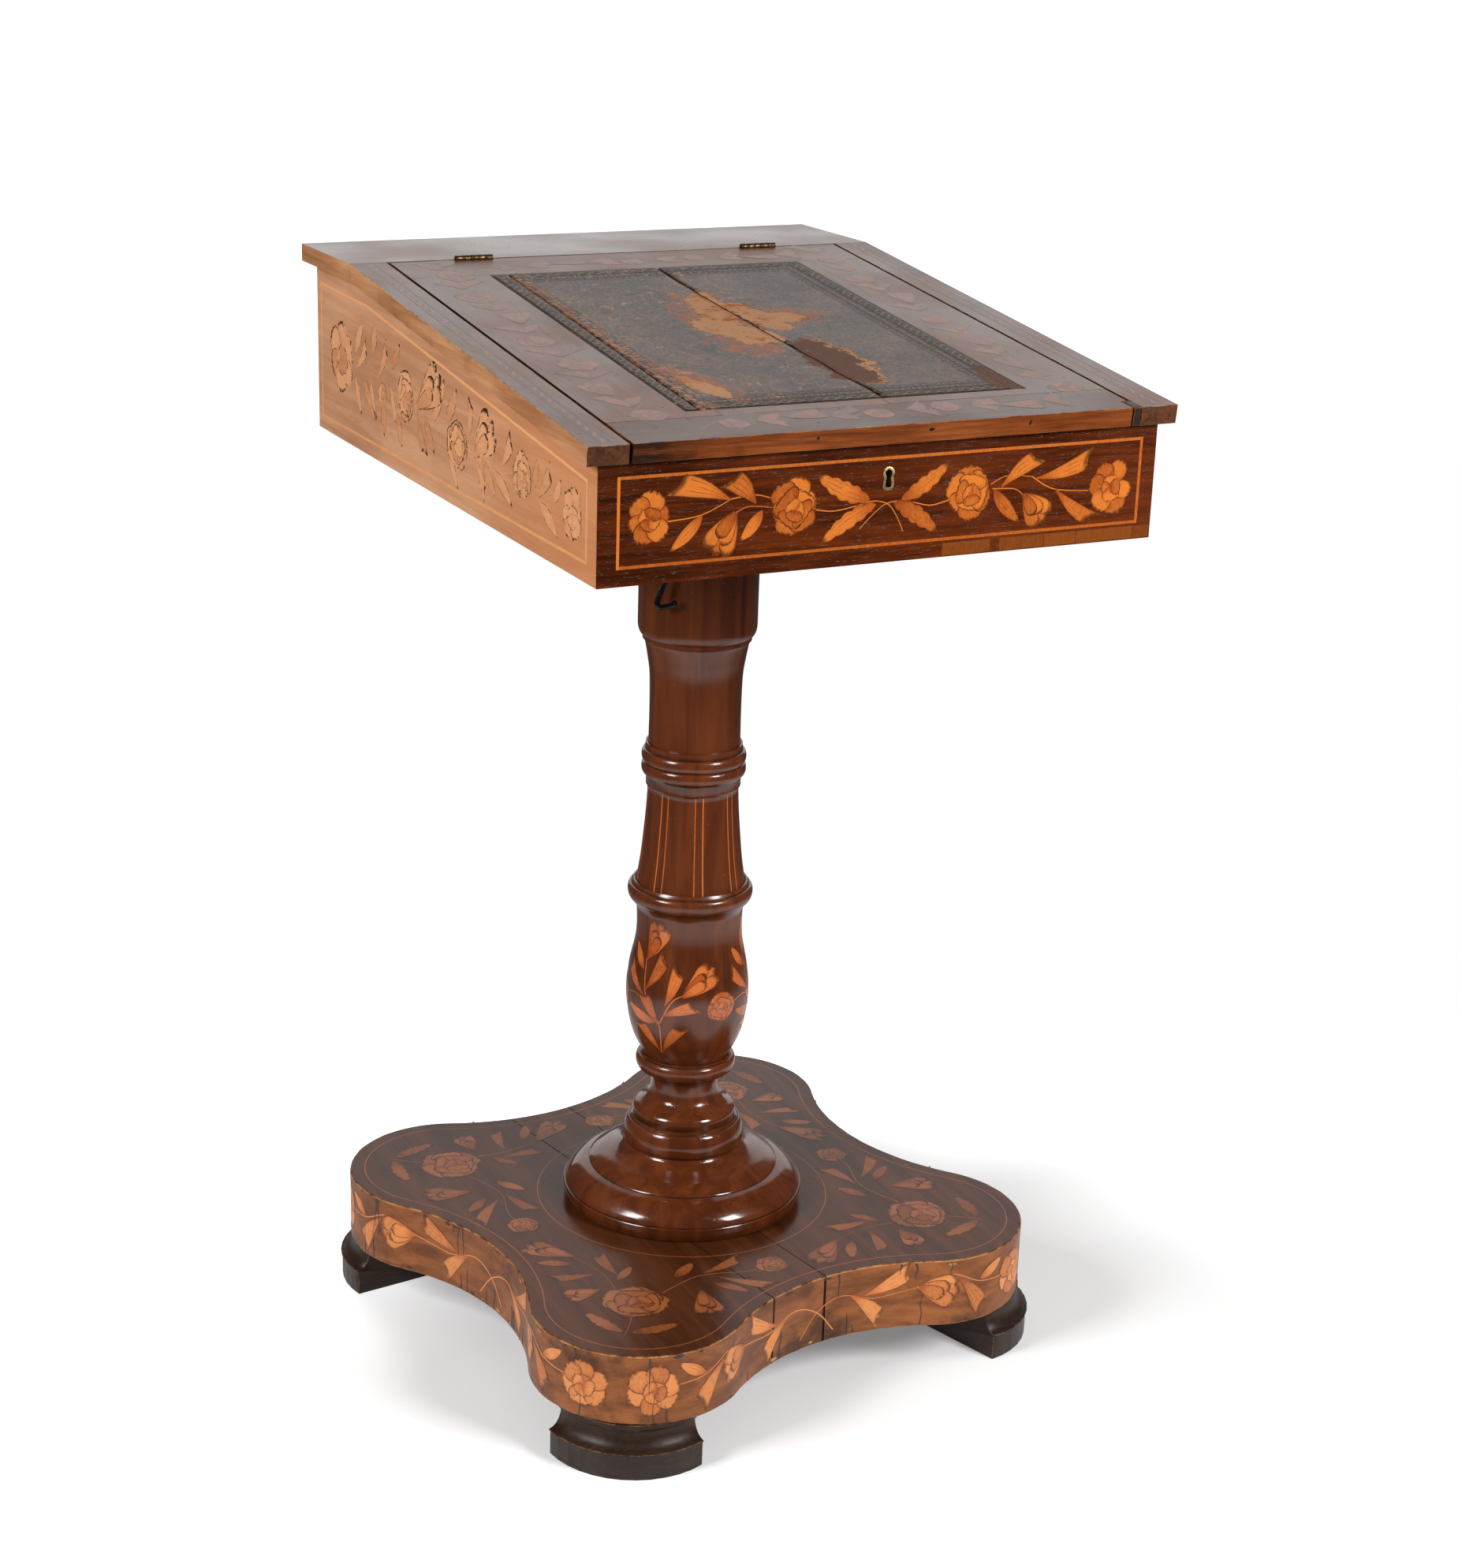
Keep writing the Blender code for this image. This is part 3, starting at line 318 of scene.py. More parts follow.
class Recipe(NodeBoard):
    """A node material in the making."""

    def __init__(self, name: str) -> None:
        """Starts a material of that name with its shader."""
        self.material = bpy.data.materials.new(name)
        self.material.use_nodes = True
        super().__init__(self.material.node_tree)
        self.shader = self.tree.nodes["Principled BSDF"]

    def done(self, colour: object, rough: object, specular: object, height: Optional[object] = None,
             relief: float = 0.0002, metal: float = 0.0) -> bpy.types.Material:
        """Joins the last values to the shader.

        Args:
            colour: Colour of the surface.
            rough: Roughness of the surface.
            specular: Strength of its mirror.
            height: Pattern of its relief.
            relief: Height of that relief in metres.
            metal: Share of metal.

        Returns:
            The finished material.
        """
        self.wire(self.shader.inputs["Base Color"], colour)
        self.wire(self.shader.inputs["Roughness"], rough)
        self.wire(self.shader.inputs["Specular IOR Level"], specular)
        self.shader.inputs["Metallic"].default_value = metal
        if height is not None:
            bump = self.tree.nodes.new("ShaderNodeBump")
            bump.inputs["Strength"].default_value = 1.0
            bump.inputs["Distance"].default_value = relief
            self.wire(bump.inputs["Height"], height)
            self.wire(self.shader.inputs["Normal"], bump.outputs["Normal"])
        return self.material


@dataclass(frozen=True)
class WoodFinish:
    """Polished, stained or bare wood with fibres, figure, stains and worn edges."""

    name: str
    dark: Colour
    light: Colour
    grain: Grain
    polish: float = 0.3
    mirror: float = 0.3
    worn: Colour = (0.3, 0.15, 0.06, 1.0)
    wear: float = 0.6
    stain: Colour = (0.012, 0.006, 0.003, 1.0)
    stained: float = 0.35
    turn: float = 0.0
    relief: float = 0.00012
    fibre: float = 0.45
    smears: float = 0.58
    soot: Optional[Spot] = None
    mellow: Optional[Spot] = None
    amber: Colour = shade(190, 112, 58)

    def build(self) -> bpy.types.Material:
        """Mixes the finish.

        Returns:
            The material.
        """
        recipe = Recipe(self.name)
        along = recipe.place(self.grain.value, self.turn)
        free = recipe.place()
        fibres = recipe.noise(along, 420, 5, 0.6, 0.2)
        figure = recipe.noise(along, 48, 3, 0.5, 1.4)
        clouds = recipe.noise(free, 9, 2, 0.5)
        pores = recipe.fade(recipe.noise(along, 1500, 2, 0.5), 0.60, 0.72)
        tone = recipe.plus(recipe.times(fibres, self.fibre), recipe.times(figure, 0.85 - self.fibre))
        tone = recipe.plus(tone, recipe.times(clouds, 0.35))
        colour = recipe.blend(recipe.fade(tone, 0.42, 0.80), self.dark, self.light)
        colour = recipe.blend(recipe.times(pores, 0.45), colour, self.dark)
        smears = recipe.fade(recipe.noise(free, 16, 4, 0.65), self.smears, self.smears + 0.17)
        colour = recipe.blend(recipe.times(smears, self.stained), colour, self.stain)
        rubbed = recipe.fade(recipe.noise(free, 95, 4, 0.7), 0.40, 0.60)
        edge = recipe.times(recipe.attribute("edge"), rubbed)
        colour = recipe.blend(recipe.times(edge, self.wear), colour, self.worn)
        # Painted shade and grime: concave creases of the turned pieces are darkened towards the stain
        # colour, broken up by noise
        crumbs = recipe.fade(recipe.noise(free, 60, 3), 0.3, 0.6, 0.5, 1.0)
        crease_shade_and_grime = recipe.times(recipe.attribute("crease_shade_and_grime"), crumbs)
        colour = recipe.blend(crease_shade_and_grime, colour, self.stain)
        if self.soot:
            black = recipe.times(recipe.fade(recipe.split(free)[0], self.soot[1], self.soot[0]),
                                 recipe.fade(recipe.noise(along, 90, 4, 0.7), 0.36, 0.56))
            colour = recipe.blend(recipe.times(black, 0.9), colour, self.stain)
        if self.mellow:
            ripe = recipe.fade(recipe.split(free)[1], self.mellow[0], self.mellow[1], 0.0, 0.5)
            colour = recipe.blend(ripe, colour, self.amber)
        marks = recipe.fade(recipe.noise(free, 140, 3, 0.6), 0.66, 0.74)
        rough = recipe.plus(recipe.fade(clouds, 0.3, 0.7, self.polish - 0.05, self.polish + 0.09),
                            recipe.times(marks, 0.18))
        rough = recipe.plus(rough, recipe.times(edge, 0.15))
        height = recipe.plus(recipe.times(fibres, 0.35), recipe.times(pores, -0.5))
        height = recipe.plus(height, recipe.times(recipe.noise(free, 60, 2), 0.6))
        return recipe.done(colour, rough, self.mirror, height, self.relief)


@dataclass(frozen=True)
class InlayFinish:
    """Sawn veneer let into a ground, sand-shaded and cut with graver lines."""

    name: str
    dark: Colour
    light: Colour
    line: Colour = (0.012, 0.006, 0.003, 1.0)
    saw: float = 0.8
    graver: float = 0.75
    sand: float = 0.55
    broken: float = 0.3
    line_from: float = 0.86
    gap_at: float = 0.5
    polish: float = 0.32
    mirror: float = 0.3

    def build(self) -> bpy.types.Material:
        """Mixes the finish.

        Returns:
            The material.
        """
        recipe = Recipe(self.name)
        free = recipe.place()
        across, up = recipe.split(recipe.place(uv=True))
        tone = recipe.attribute("tone")
        kind = recipe.attribute("kind")
        fibres = recipe.noise(recipe.place((1, 0.12, 0.5)), 600, 3, 0.6)
        mottle = recipe.plus(recipe.times(tone, 0.6), recipe.times(fibres, 0.55))
        colour = recipe.blend(recipe.fade(mottle, 0.15, 0.85), self.dark, self.light)
        cut_piece = recipe.sums("GREATER_THAN", kind, 0.5)
        side = recipe.sums("ABSOLUTE", recipe.minus(recipe.times(up, 2.0), 1.0))
        scorch = recipe.plus(recipe.fade(across, 0.5, 0.0),
                             recipe.times(recipe.fade(side, 0.5, 1.0), 0.45))
        scorch = recipe.sums("MULTIPLY", recipe.times(scorch, cut_piece), self.sand, clamp=True)
        colour = recipe.blend(scorch, colour, self.dark, "MULTIPLY")
        gaps = recipe.fade(recipe.noise(free, 170, 2), self.gap_at - self.broken, self.gap_at)
        sawn = recipe.fade(recipe.most(side, across), self.line_from, self.line_from + 0.10)
        sawn = recipe.times(recipe.times(sawn, cut_piece), gaps)
        wander = recipe.times(recipe.noise(recipe.place((4, 4, 4), uv=True), 1.0, 1), 0.10)
        rib = recipe.times(recipe.plus(up, wander), 4.0)
        rib = recipe.sums("ABSOLUTE", recipe.minus(recipe.sums("FRACT", rib), 0.5))
        stroke = recipe.fade(rib, 0.41, 0.48)
        reach = recipe.minus(1.22, recipe.times(kind, 0.38))
        length = recipe.times(recipe.fade(across, 0.02, 0.10), recipe.sums("LESS_THAN", across, reach))
        stroke = recipe.times(recipe.times(stroke, length), cut_piece)
        stroke = recipe.times(stroke, recipe.fade(recipe.noise(free, 120, 2), 0.35, 0.6))
        ink = recipe.most(recipe.times(sawn, self.saw), recipe.times(stroke, self.graver))
        colour = recipe.blend(ink, colour, self.line)
        rough = recipe.fade(fibres, 0.2, 0.8, self.polish - 0.03, self.polish + 0.08)
        return recipe.done(colour, rough, self.mirror, fibres, 0.00002)


@dataclass(frozen=True)
class MetalFinish:
    """Aged brass or iron."""

    name: str
    bright: Colour
    tarnish: Colour
    polish: float = 0.35
    tarnished: float = 0.5
    metal: float = 1.0

    def build(self) -> bpy.types.Material:
        """Mixes the finish.

        Returns:
            The material.
        """
        recipe = Recipe(self.name)
        free = recipe.place()
        spots = recipe.fade(recipe.noise(free, 320, 4, 0.65), 0.42, 0.62)
        edge = recipe.times(recipe.attribute("edge"), 0.6)
        film = recipe.sums("SUBTRACT", recipe.times(spots, self.tarnished), edge, clamp=True)
        colour = recipe.blend(film, self.bright, self.tarnish)
        rough = recipe.fade(spots, 0.0, 1.0, self.polish, self.polish + 0.2)
        height = recipe.noise(free, 900, 2)
        return recipe.done(colour, rough, 0.5, height, 0.00006, self.metal)


# Worn patches of the leather: middle, reach and lean, in metres from its front left corner

HALO_PATCHES = (((0.129, 0.215), (0.030, 0.085), -0.10), ((0.184, 0.212), (0.036, 0.024), 0.0),
                ((0.118, 0.148), (0.028, 0.036), 0.0), ((0.040, 0.060), (0.016, 0.042), 0.2))
BARE_PATCHES = (((0.132, 0.228), (0.017, 0.058), -0.18), ((0.129, 0.172), (0.023, 0.034), 0.45),
                ((0.163, 0.214), (0.013, 0.040), 0.10), ((0.180, 0.208), (0.024, 0.014), 0.0),
                ((0.038, 0.050), (0.009, 0.028), 0.25), ((0.167, 0.091), (0.023, 0.060), 0.0))
TORN_PATCHES = (((0.164, 0.092), (0.020, 0.057), 0.0), ((0.265, 0.028), (0.011, 0.029), 0.0))

# Flaked and rubbed bands of the leather: where they fade, in metres from its left edge

FLAKES_END = (0.23, 0.16)
RUB_START = (0.009, 0.014)
RUB_THIN = (0.034, 0.018)
RUB_END = (0.09, 0.05)

# Tooled border of the leather, in metres: lines and bands by level from its edge, and pitches

PRESSED_LINES = (0.0018, 0.0118, 0.0136, 0.0196, 0.0258)
PRESSED_HALF = 0.0004
VINE_BAND = (0.0068, 0.0038)
VINE_PITCH = 0.0092
VINE_RISE = 0.0082
BEAD_BAND = (0.0166, 0.0016)
BEAD_PITCH = 0.0046
PRICK_BAND = (0.0228, 0.0009)
PRICK_PITCH = 0.0058
DARK_END = (0.0134, 0.0122)
DARK_BAND = (0.0178, 0.0046)


@dataclass(frozen=True)
class LeatherFinish:
    """Old tooled hide, rubbed to rust and bare along its split."""

    name: str
    hide: Colour
    deep: Colour
    rust: Colour
    bare: Colour
    torn: Colour
    width: float
    depth: float
    tooled: Colour = shade(122, 98, 78)

    def build(self) -> bpy.types.Material:
        """Mixes the finish; the UV map runs over the whole panel.

        Returns:
            The material.
        """
        recipe = Recipe(self.name)
        free = recipe.place()
        across, up = recipe.split(recipe.place(uv=True))
        x = recipe.times(across, self.width)
        y = recipe.times(up, self.depth)
        fray = recipe.plus(recipe.times(recipe.noise(free, 48, 4, 0.65), 1.7),
                           recipe.times(recipe.noise(free, 260, 4, 0.7), 1.1))
        fray = recipe.minus(fray, 1.4)
        fine = recipe.noise(free, 420, 3, 0.6)
        clouds = recipe.noise(free, 14, 3, 0.55)
        colour = recipe.blend(recipe.fade(clouds, 0.3, 0.7), self.deep, self.hide)
        colour = recipe.blend(recipe.times(recipe.fade(fine, 0.45, 0.7), 0.35), colour, self.deep)
        stains = recipe.fade(recipe.noise(free, 75, 5, 0.75), 0.46, 0.66)
        colour = recipe.blend(recipe.times(stains, 0.20), colour, self.rust)
        band, figure, lines = self.border(recipe, x, y)
        colour = recipe.blend(recipe.times(band, 0.75), colour, self.deep)
        gilt = recipe.times(figure, recipe.fade(recipe.noise(free, 70, 3, 0.7), 0.30, 0.60, 0.35, 1.0))
        colour = recipe.blend(recipe.times(gilt, 0.75), colour, self.tooled)
        colour = recipe.blend(recipe.times(lines, 0.7), colour, self.deep)
        specks = recipe.fade(recipe.noise(free, 120, 5, 0.8), 0.585, 0.62)
        specks = recipe.times(specks, recipe.fade(recipe.noise(free, 13, 2), 0.42, 0.54))
        specks = recipe.times(specks, recipe.fade(x, *FLAKES_END))
        rubbed_off = recipe.fade(x, *RUB_END)
        rubbed = recipe.times(recipe.fade(x, *RUB_THIN, 0.12, 1.0), recipe.fade(x, *RUB_START))
        rubbed = recipe.times(recipe.times(rubbed, rubbed_off),
                              recipe.fade(recipe.noise(free, 150, 5, 0.85), 0.48, 0.56))
        halo = self.patches(recipe, x, y, fray, HALO_PATCHES)
        halo = recipe.times(halo, recipe.fade(recipe.noise(free, 90, 5, 0.8), 0.36, 0.60))
        flakes = recipe.most(specks, rubbed)
        colour = recipe.blend(recipe.times(halo, 0.70), colour, self.rust)
        mottle = recipe.noise(free, 60, 5, 0.75)
        chipped = recipe.blend(recipe.fade(mottle, 0.46, 0.60), self.rust, self.bare)
        colour = recipe.blend(recipe.times(flakes, 0.8), colour, chipped)
        raw = recipe.blend(recipe.fade(mottle, 0.36, 0.50), self.rust, self.bare)
        rust = recipe.most(flakes, halo)
        worn = self.patches(recipe, x, y, fray, BARE_PATCHES)
        colour = recipe.blend(worn, colour, raw)
        hole = self.patches(recipe, x, y, fray, TORN_PATCHES)
        colour = recipe.blend(hole, colour, self.torn)
        lost = recipe.most(worn, hole)
        rough = recipe.plus(recipe.fade(fine, 0.2, 0.8, 0.34, 0.50), recipe.times(lost, 0.25))
        height = recipe.minus(recipe.times(fine, 0.35), recipe.times(lines, 0.8))
        height = recipe.plus(height, recipe.times(figure, 0.6))
        height = recipe.plus(height, recipe.times(lost, -1.1))
        bald = recipe.most(worn, recipe.times(hole, 0.5))
        dull = recipe.most(recipe.most(bald, recipe.times(rust, 0.9)),
                           recipe.times(recipe.most(band, lines), 0.85))
        return recipe.done(colour, rough, recipe.fade(dull, 0.0, 1.0, 0.31, 0.08), height, 0.00045)

    @staticmethod
    def patches(recipe: Recipe, x: Socket, y: Socket, fray: Socket,
                table: Sequence[tuple[Spot, Spot, float]]) -> Socket:
        """Ragged worn patches.

        Args:
            recipe: The material in the making.
            x: Place across the panel in metres.
            y: Place up the panel in metres.
            fray: Noise that frays the patches.
            table: Middle, half width and height, and lean to the left of each patch, in metres.

        Returns:
            One inside the patches and zero outside them.
        """
        whole = 0.0
        for middle, reach, lean in table:
            rise = recipe.minus(y, middle[1])
            aside = recipe.plus(recipe.minus(x, middle[0]), recipe.times(rise, lean))
            far_x = recipe.sums("DIVIDE", aside, reach[0])
            far_y = recipe.sums("DIVIDE", rise, reach[1])
            far = recipe.plus(recipe.times(far_x, far_x), recipe.times(far_y, far_y))
            far = recipe.plus(recipe.sums("SQRT", far), fray)
            whole = recipe.most(whole, recipe.fade(far, 1.05, 0.95))
        return whole

    def border(self, recipe: Recipe, x: Socket, y: Socket) -> tuple[Socket, ...]:
        """The tooled border: dark bands with a running leaf, rows of stamps, and pressed lines.

        Args:
            recipe: The material in the making.
            x: Place across the panel in metres.
            y: Place up the panel in metres.

        Returns:
            The dark band, the raised figure and the pressed lines.
        """
        near_x = recipe.least(x, recipe.minus(self.width, x))
        near_y = recipe.least(y, recipe.minus(self.depth, y))
        edge = recipe.least(near_x, near_y)
        on_side = recipe.sums("LESS_THAN", near_x, near_y)
        run = recipe.plus(recipe.times(on_side, y), recipe.times(recipe.minus(1.0, on_side), x))

        def waves(source: object, length: float) -> Socket:
            return recipe.sums("SINE", recipe.times(source, 2 * math.pi / length))

        def within(level: float, half: float) -> Socket:
            off = recipe.sums("ABSOLUTE", recipe.minus(edge, level))
            return recipe.fade(off, half + 0.0003, half - 0.0001)

        lines = within(PRESSED_LINES[0], PRESSED_HALF)
        for level in PRESSED_LINES[1:]:
            lines = recipe.most(lines, within(level, PRESSED_HALF))
        vine = recipe.sums("ABSOLUTE", recipe.plus(waves(run, VINE_PITCH), waves(edge, VINE_RISE)))
        figure = recipe.times(recipe.fade(vine, 0.8, 0.35), within(*VINE_BAND))
        beads = recipe.times(recipe.fade(waves(run, BEAD_PITCH), 0.0, 0.6), within(*BEAD_BAND))
        pricks = recipe.times(recipe.fade(waves(run, PRICK_PITCH), 0.3, 0.7), within(*PRICK_BAND))
        lines = recipe.most(lines, pricks)
        band = recipe.most(recipe.fade(edge, *DARK_END), recipe.times(within(*DARK_BAND), 0.65))
        return band, recipe.most(figure, beads), lines


# Finishes of this desk

FRONT_GROUND = WoodFinish("front_mahogany", shade(46, 18, 5), shade(106, 44, 11), Grain.X, 0.20, 0.2,
                          shade(150, 84, 40), 0.55, stained=0.25)
SIDE_GROUND = WoodFinish("faded_side_veneer", shade(174, 121, 86), shade(203, 151, 113), Grain.Y, 0.42,
                         0.4, shade(214, 176, 136), 0.5, shade(140, 92, 58), 0.24, fibre=0.25,
                         mellow=(0.02, -0.27))
TOP_GROUND = WoodFinish("worn_top_veneer", shade(64, 33, 15), shade(111, 62, 31), Grain.Y, 0.30, 0.44,
                        shade(160, 96, 48), 0.75, stained=0.4, relief=0.00006)
CROSS_GROUND = WoodFinish("worn_cross_veneer", shade(64, 33, 15), shade(112, 62, 30), Grain.X, 0.30,
                          0.44, shade(160, 92, 46), 0.75, stained=0.4, relief=0.00006)
FRONT_CLAMP = replace(CROSS_GROUND, name="worn_front_clamp_veneer", dark=shade(48, 25, 11),
                      light=shade(88, 49, 24), mirror=0.34)
STRIP_GROUND = WoodFinish("worn_cap_veneer", shade(64, 36, 20), shade(114, 68, 40), Grain.Y, 0.30, 0.46,
                          shade(172, 118, 68), 0.85, stained=0.5, relief=0.00006)
CARCASS_WOOD = WoodFinish("bare_carcass_wood", shade(112, 74, 44), shade(160, 112, 70), Grain.X, 0.55,
                          0.25, shade(176, 130, 88), 0.4, stained=0.4)
BACK_WOOD = WoodFinish("back_veneer", shade(96, 56, 30), shade(142, 90, 52), Grain.X, 0.4, 0.3,
                       shade(170, 120, 76), 0.5, stained=0.3)
TURNED_WOOD = WoodFinish("polished_turned_walnut", shade(76, 34, 14), shade(104, 51, 23), Grain.Z, 0.14,
                         0.55, shade(130, 76, 44), 0.4, stained=0.3, relief=0.00004, fibre=0.1)
PLATFORM_TOP = WoodFinish("platform_veneer", shade(58, 28, 12), shade(86, 46, 23), Grain.Y, 0.2, 0.15,
                          shade(150, 104, 62), 0.9, stained=0.3, turn=-BASE_TURN, relief=0.00005,
                          fibre=0.2)
PLATFORM_EDGE = WoodFinish("platform_edge_veneer", shade(104, 56, 24), shade(158, 94, 48), Grain.ROUND,
                           0.42, 0.3, shade(190, 138, 86), 0.8, shade(56, 30, 14), 0.8, relief=0.00012,
                           fibre=0.2, smears=0.51)
EBONISED = WoodFinish("ebonised_wood", shade(34, 20, 13), shade(60, 40, 29), Grain.X, 0.40, 0.25,
                      shade(128, 92, 56), 0.8, stained=0.1)
FRONT_INLAY = InlayFinish("front_inlay", shade(156, 70, 18), shade(216, 120, 44), shade(38, 14, 4),
                          mirror=0.2)
SIDE_INLAY = InlayFinish("faded_inlay", shade(184, 121, 80), shade(214, 153, 107), shade(44, 27, 18),
                         saw=1.0, graver=0.6, sand=0.15, broken=0.05, line_from=0.86, gap_at=0.49,
                         polish=0.42, mirror=0.4)
TOP_INLAY = InlayFinish("dulled_inlay", shade(88, 50, 32), shade(126, 76, 50), shade(34, 20, 14),
                        saw=0.45, graver=0.45, sand=0.25, broken=0.05, gap_at=0.56, polish=0.31,
                        mirror=0.46)
PLATFORM_INLAY = InlayFinish("platform_inlay", shade(106, 54, 25), shade(149, 85, 46), shade(30, 14, 7),
                             saw=0.85, graver=0.65, sand=0.45, polish=0.2, mirror=0.15)
EDGE_INLAY = InlayFinish("edge_inlay", shade(174, 95, 44), shade(226, 143, 80), shade(56, 28, 12),
                         polish=0.4)
COLUMN_INLAY = InlayFinish("column_inlay", shade(150, 68, 26), shade(206, 112, 54), shade(40, 14, 6),
                           polish=0.15, mirror=0.55)
SIDE_STRING = InlayFinish("side_stringing", shade(190, 124, 74), shade(220, 156, 103), polish=0.42,
                          mirror=0.4)
RAW_WOOD = InlayFinish("raw_wood", shade(148, 98, 58), shade(206, 160, 112), shade(70, 40, 20),
                       polish=0.6, mirror=0.2)
TOP_BOARD = replace(CROSS_GROUND, name="worn_board_veneer", mirror=0.85)
FADED_EDGE = WoodFinish("faded_edge", shade(150, 98, 60), shade(198, 144, 100), Grain.Y, 0.42, 0.4,
                        shade(214, 168, 122), 0.8, shade(112, 70, 42), 0.5, fibre=0.25)
CLAMP_EDGE = WoodFinish("rubbed_clamp_edge", shade(88, 37, 11), shade(156, 82, 33), Grain.X, 0.34, 0.2,
                        shade(176, 112, 58), 0.8, stained=0.6, soot=(-0.185, -0.130))
DARK_JOINT = WoodFinish("dusty_joint", shade(26, 14, 7), shade(62, 36, 20), Grain.Z, 0.7, 0.1)
PATCH_VENEER = InlayFinish("patched_veneer", shade(70, 31, 9), shade(132, 68, 23), shade(30, 12, 4),
                           polish=0.3, mirror=0.13)
DARK_LINE = InlayFinish("dark_stringing", shade(22, 15, 12), shade(44, 33, 27), polish=0.3, mirror=0.6)
PALE_BRASS = MetalFinish("pale_brass", shade(226, 198, 146), shade(140, 108, 66), 0.3, 0.45)
OLD_BRASS = MetalFinish("old_brass", shade(108, 86, 58), shade(48, 38, 29), 0.35, 0.85)
BLACK_IRON = MetalFinish("black_iron", shade(30, 30, 32), shade(12, 11, 11), 0.2, 0.5, 0.6)

Finish = WoodFinish | InlayFinish | MetalFinish | LeatherFinish
MIXED: dict[str, bpy.types.Material] = {}


def finish_of(finish: Finish) -> bpy.types.Material:
    """The material of a finish, mixed once."""
    if finish.name not in MIXED:
        MIXED[finish.name] = finish.build()
    return MIXED[finish.name]


# Making pieces

def placed(bm: BMesh, name: str, materials: Iterable[bpy.types.Material]) -> bpy.types.Object:
    """Puts a shape into the scene as an object.

    Args:
        bm: The shape, in the row frame; it is freed.
        name: Name of the object.
        materials: Its materials, in the order of the faces' material numbers.

    Returns:
        The object.
    """
    mesh = bpy.data.meshes.new(name)
    bm.to_mesh(mesh)
    bm.free()
    for material in materials:
        mesh.materials.append(material)
    piece = bpy.data.objects.new(name, mesh)
    bpy.context.scene.collection.objects.link(piece)
    return piece


def copied(frame: dict, node: str) -> BMesh:
    """A copy of a CAD node's mesh with its points merged."""
    bm = bmesh.new()
    bm.from_mesh(frame["nodes"][node].data)
    bmesh.ops.remove_doubles(bm, verts=bm.verts, dist=SAME_POINT)
    return bm


def settle(bm: BMesh, name: str, body: str, finishes: Sequence[Finish],
           replaces: Iterable[str] = (), smooth: Optional[float] = None,
           thickness: float = 0.0) -> bpy.types.Object:
    """Makes a finished piece from a bmesh and gives it its place on a body.

    Args:
        bm: The shape, in the row frame; it is freed.
        name: Name of the piece.
        body: CAD body that it rides on.
        finishes: Finishes in the order of the faces' material numbers.
        replaces: CAD nodes that it stands for.
        smooth: Angle in degrees over which edges stay sharp, or None for flat faces.
        thickness: Thickness that a sheet gets inwards.

    Returns:
        The piece's object.
    """
    piece = placed(bm, name, [finish_of(finish) for finish in finishes])
    mesh = piece.data
    if smooth is not None:
        mesh.polygons.foreach_set("use_smooth", [True] * len(mesh.polygons))
        mesh.set_sharp_from_angle(angle=math.radians(smooth))
    if thickness:
        wall = piece.modifiers.new("veneer", "SOLIDIFY")
        wall.thickness = thickness
        wall.offset = -1.0
    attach(piece, body)
    nodes = tuple(replaces)
    if nodes:
        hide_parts(*nodes)
    LOG.info("%s: %d faces on %s", name, len(mesh.polygons), body)
    return piece


def arris(bm: BMesh, edges: Sequence[BMEdge], width: float, rough: float, seed: float) -> None:
    """Rounds sharp edges and dents them a little, as hands and knocks do.

    Args:
        bm: The shape.
        edges: Edges to round.
        width: Width of the rounding.
        rough: Depth of the dents.
        seed: Shifts the pattern of the dents.
    """
    layer = bm.faces.layers.float.get("edge") or bm.faces.layers.float.new("edge")
    made = bmesh.ops.bevel(bm, geom=list(edges), offset=width, offset_type="OFFSET", affect="EDGES",
                           segments=2, profile=0.5, material=-1, clamp_overlap=True)
    rounding = set(made["faces"])
    for face in rounding:
        face[layer] = 1.0
    if rough:
        for vert in {v for face in rounding for v in face.verts if rounding.issuperset(v.link_faces)}:
            dent = max(0.0, noise.noise(vert.co * 90 + Vector((seed, 0, 0))))
            dent += max(0.0, noise.noise(vert.co * 330 + Vector((0, seed, 0))) - 0.15)
            vert.co -= vert.normal * dent * rough


def split_long(bm: BMesh, edges: Sequence[BMEdge], step: float) -> None:
    """Divides long edges, so that they can be dented.

    Args:
        bm: The shape.
        edges: Edges to divide.
        step: Length that the parts are to have at most.
    """
    groups: dict[int, list[BMEdge]] = {}
    for edge in edges:
        cuts = min(60, int(edge.calc_length() / step))
        if cuts:
            groups.setdefault(cuts, []).append(edge)
    for cuts, members in groups.items():
        bmesh.ops.subdivide_edges(bm, edges=members, cuts=cuts)


def sharp_edges(bm: BMesh, degrees: float) -> list[BMEdge]:
    """Edges at which two faces meet at more than an angle."""
    least = math.radians(degrees)
    return [edge for edge in bm.edges if edge.is_manifold and edge.calc_face_angle(0.0) > least]


def softened(frame: dict, node: str, body: str, finishes: Sequence[Finish], width: float,
             rough: float = 0.0, step: float = 0.012, smooth: Optional[float] = None,
             degrees: float = 40.0, side: Optional[Vector] = None) -> bpy.types.Object:
    """A copy of a CAD node with rounded, dented edges, in the node's place.

    Args:
        frame: The loaded frame.
        node: CAD node that is copied and replaced.
        body: CAD body that it rides on.
        finishes: Finishes of the piece.
        width: Width of the rounding.
        rough: Depth of the dents.
        step: Distance of the dents along an edge.
        smooth: Angle for smooth shading, or None for flat faces.
        degrees: Edges sharper than this are rounded.
        side: Direction of the faces that get the second finish; the opposite ones get the last.

    Returns:
        The new piece.
    """
    bm = copied(frame, node)
    if side is not None:
        for face in bm.faces:
            toward = face.normal.dot(side)
            face.material_index = 0 if abs(toward) < 0.8 else 1 if toward > 0 else len(finishes) - 1
    if width:
        edges = sharp_edges(bm, degrees)
        if rough:
            split_long(bm, edges, step)
            edges = sharp_edges(bm, degrees)
        arris(bm, edges, width, rough, float(len(node)))
    return settle(bm, f"{node}_dressed", body, finishes, [node], smooth)


# Surfaces that inlay is let into

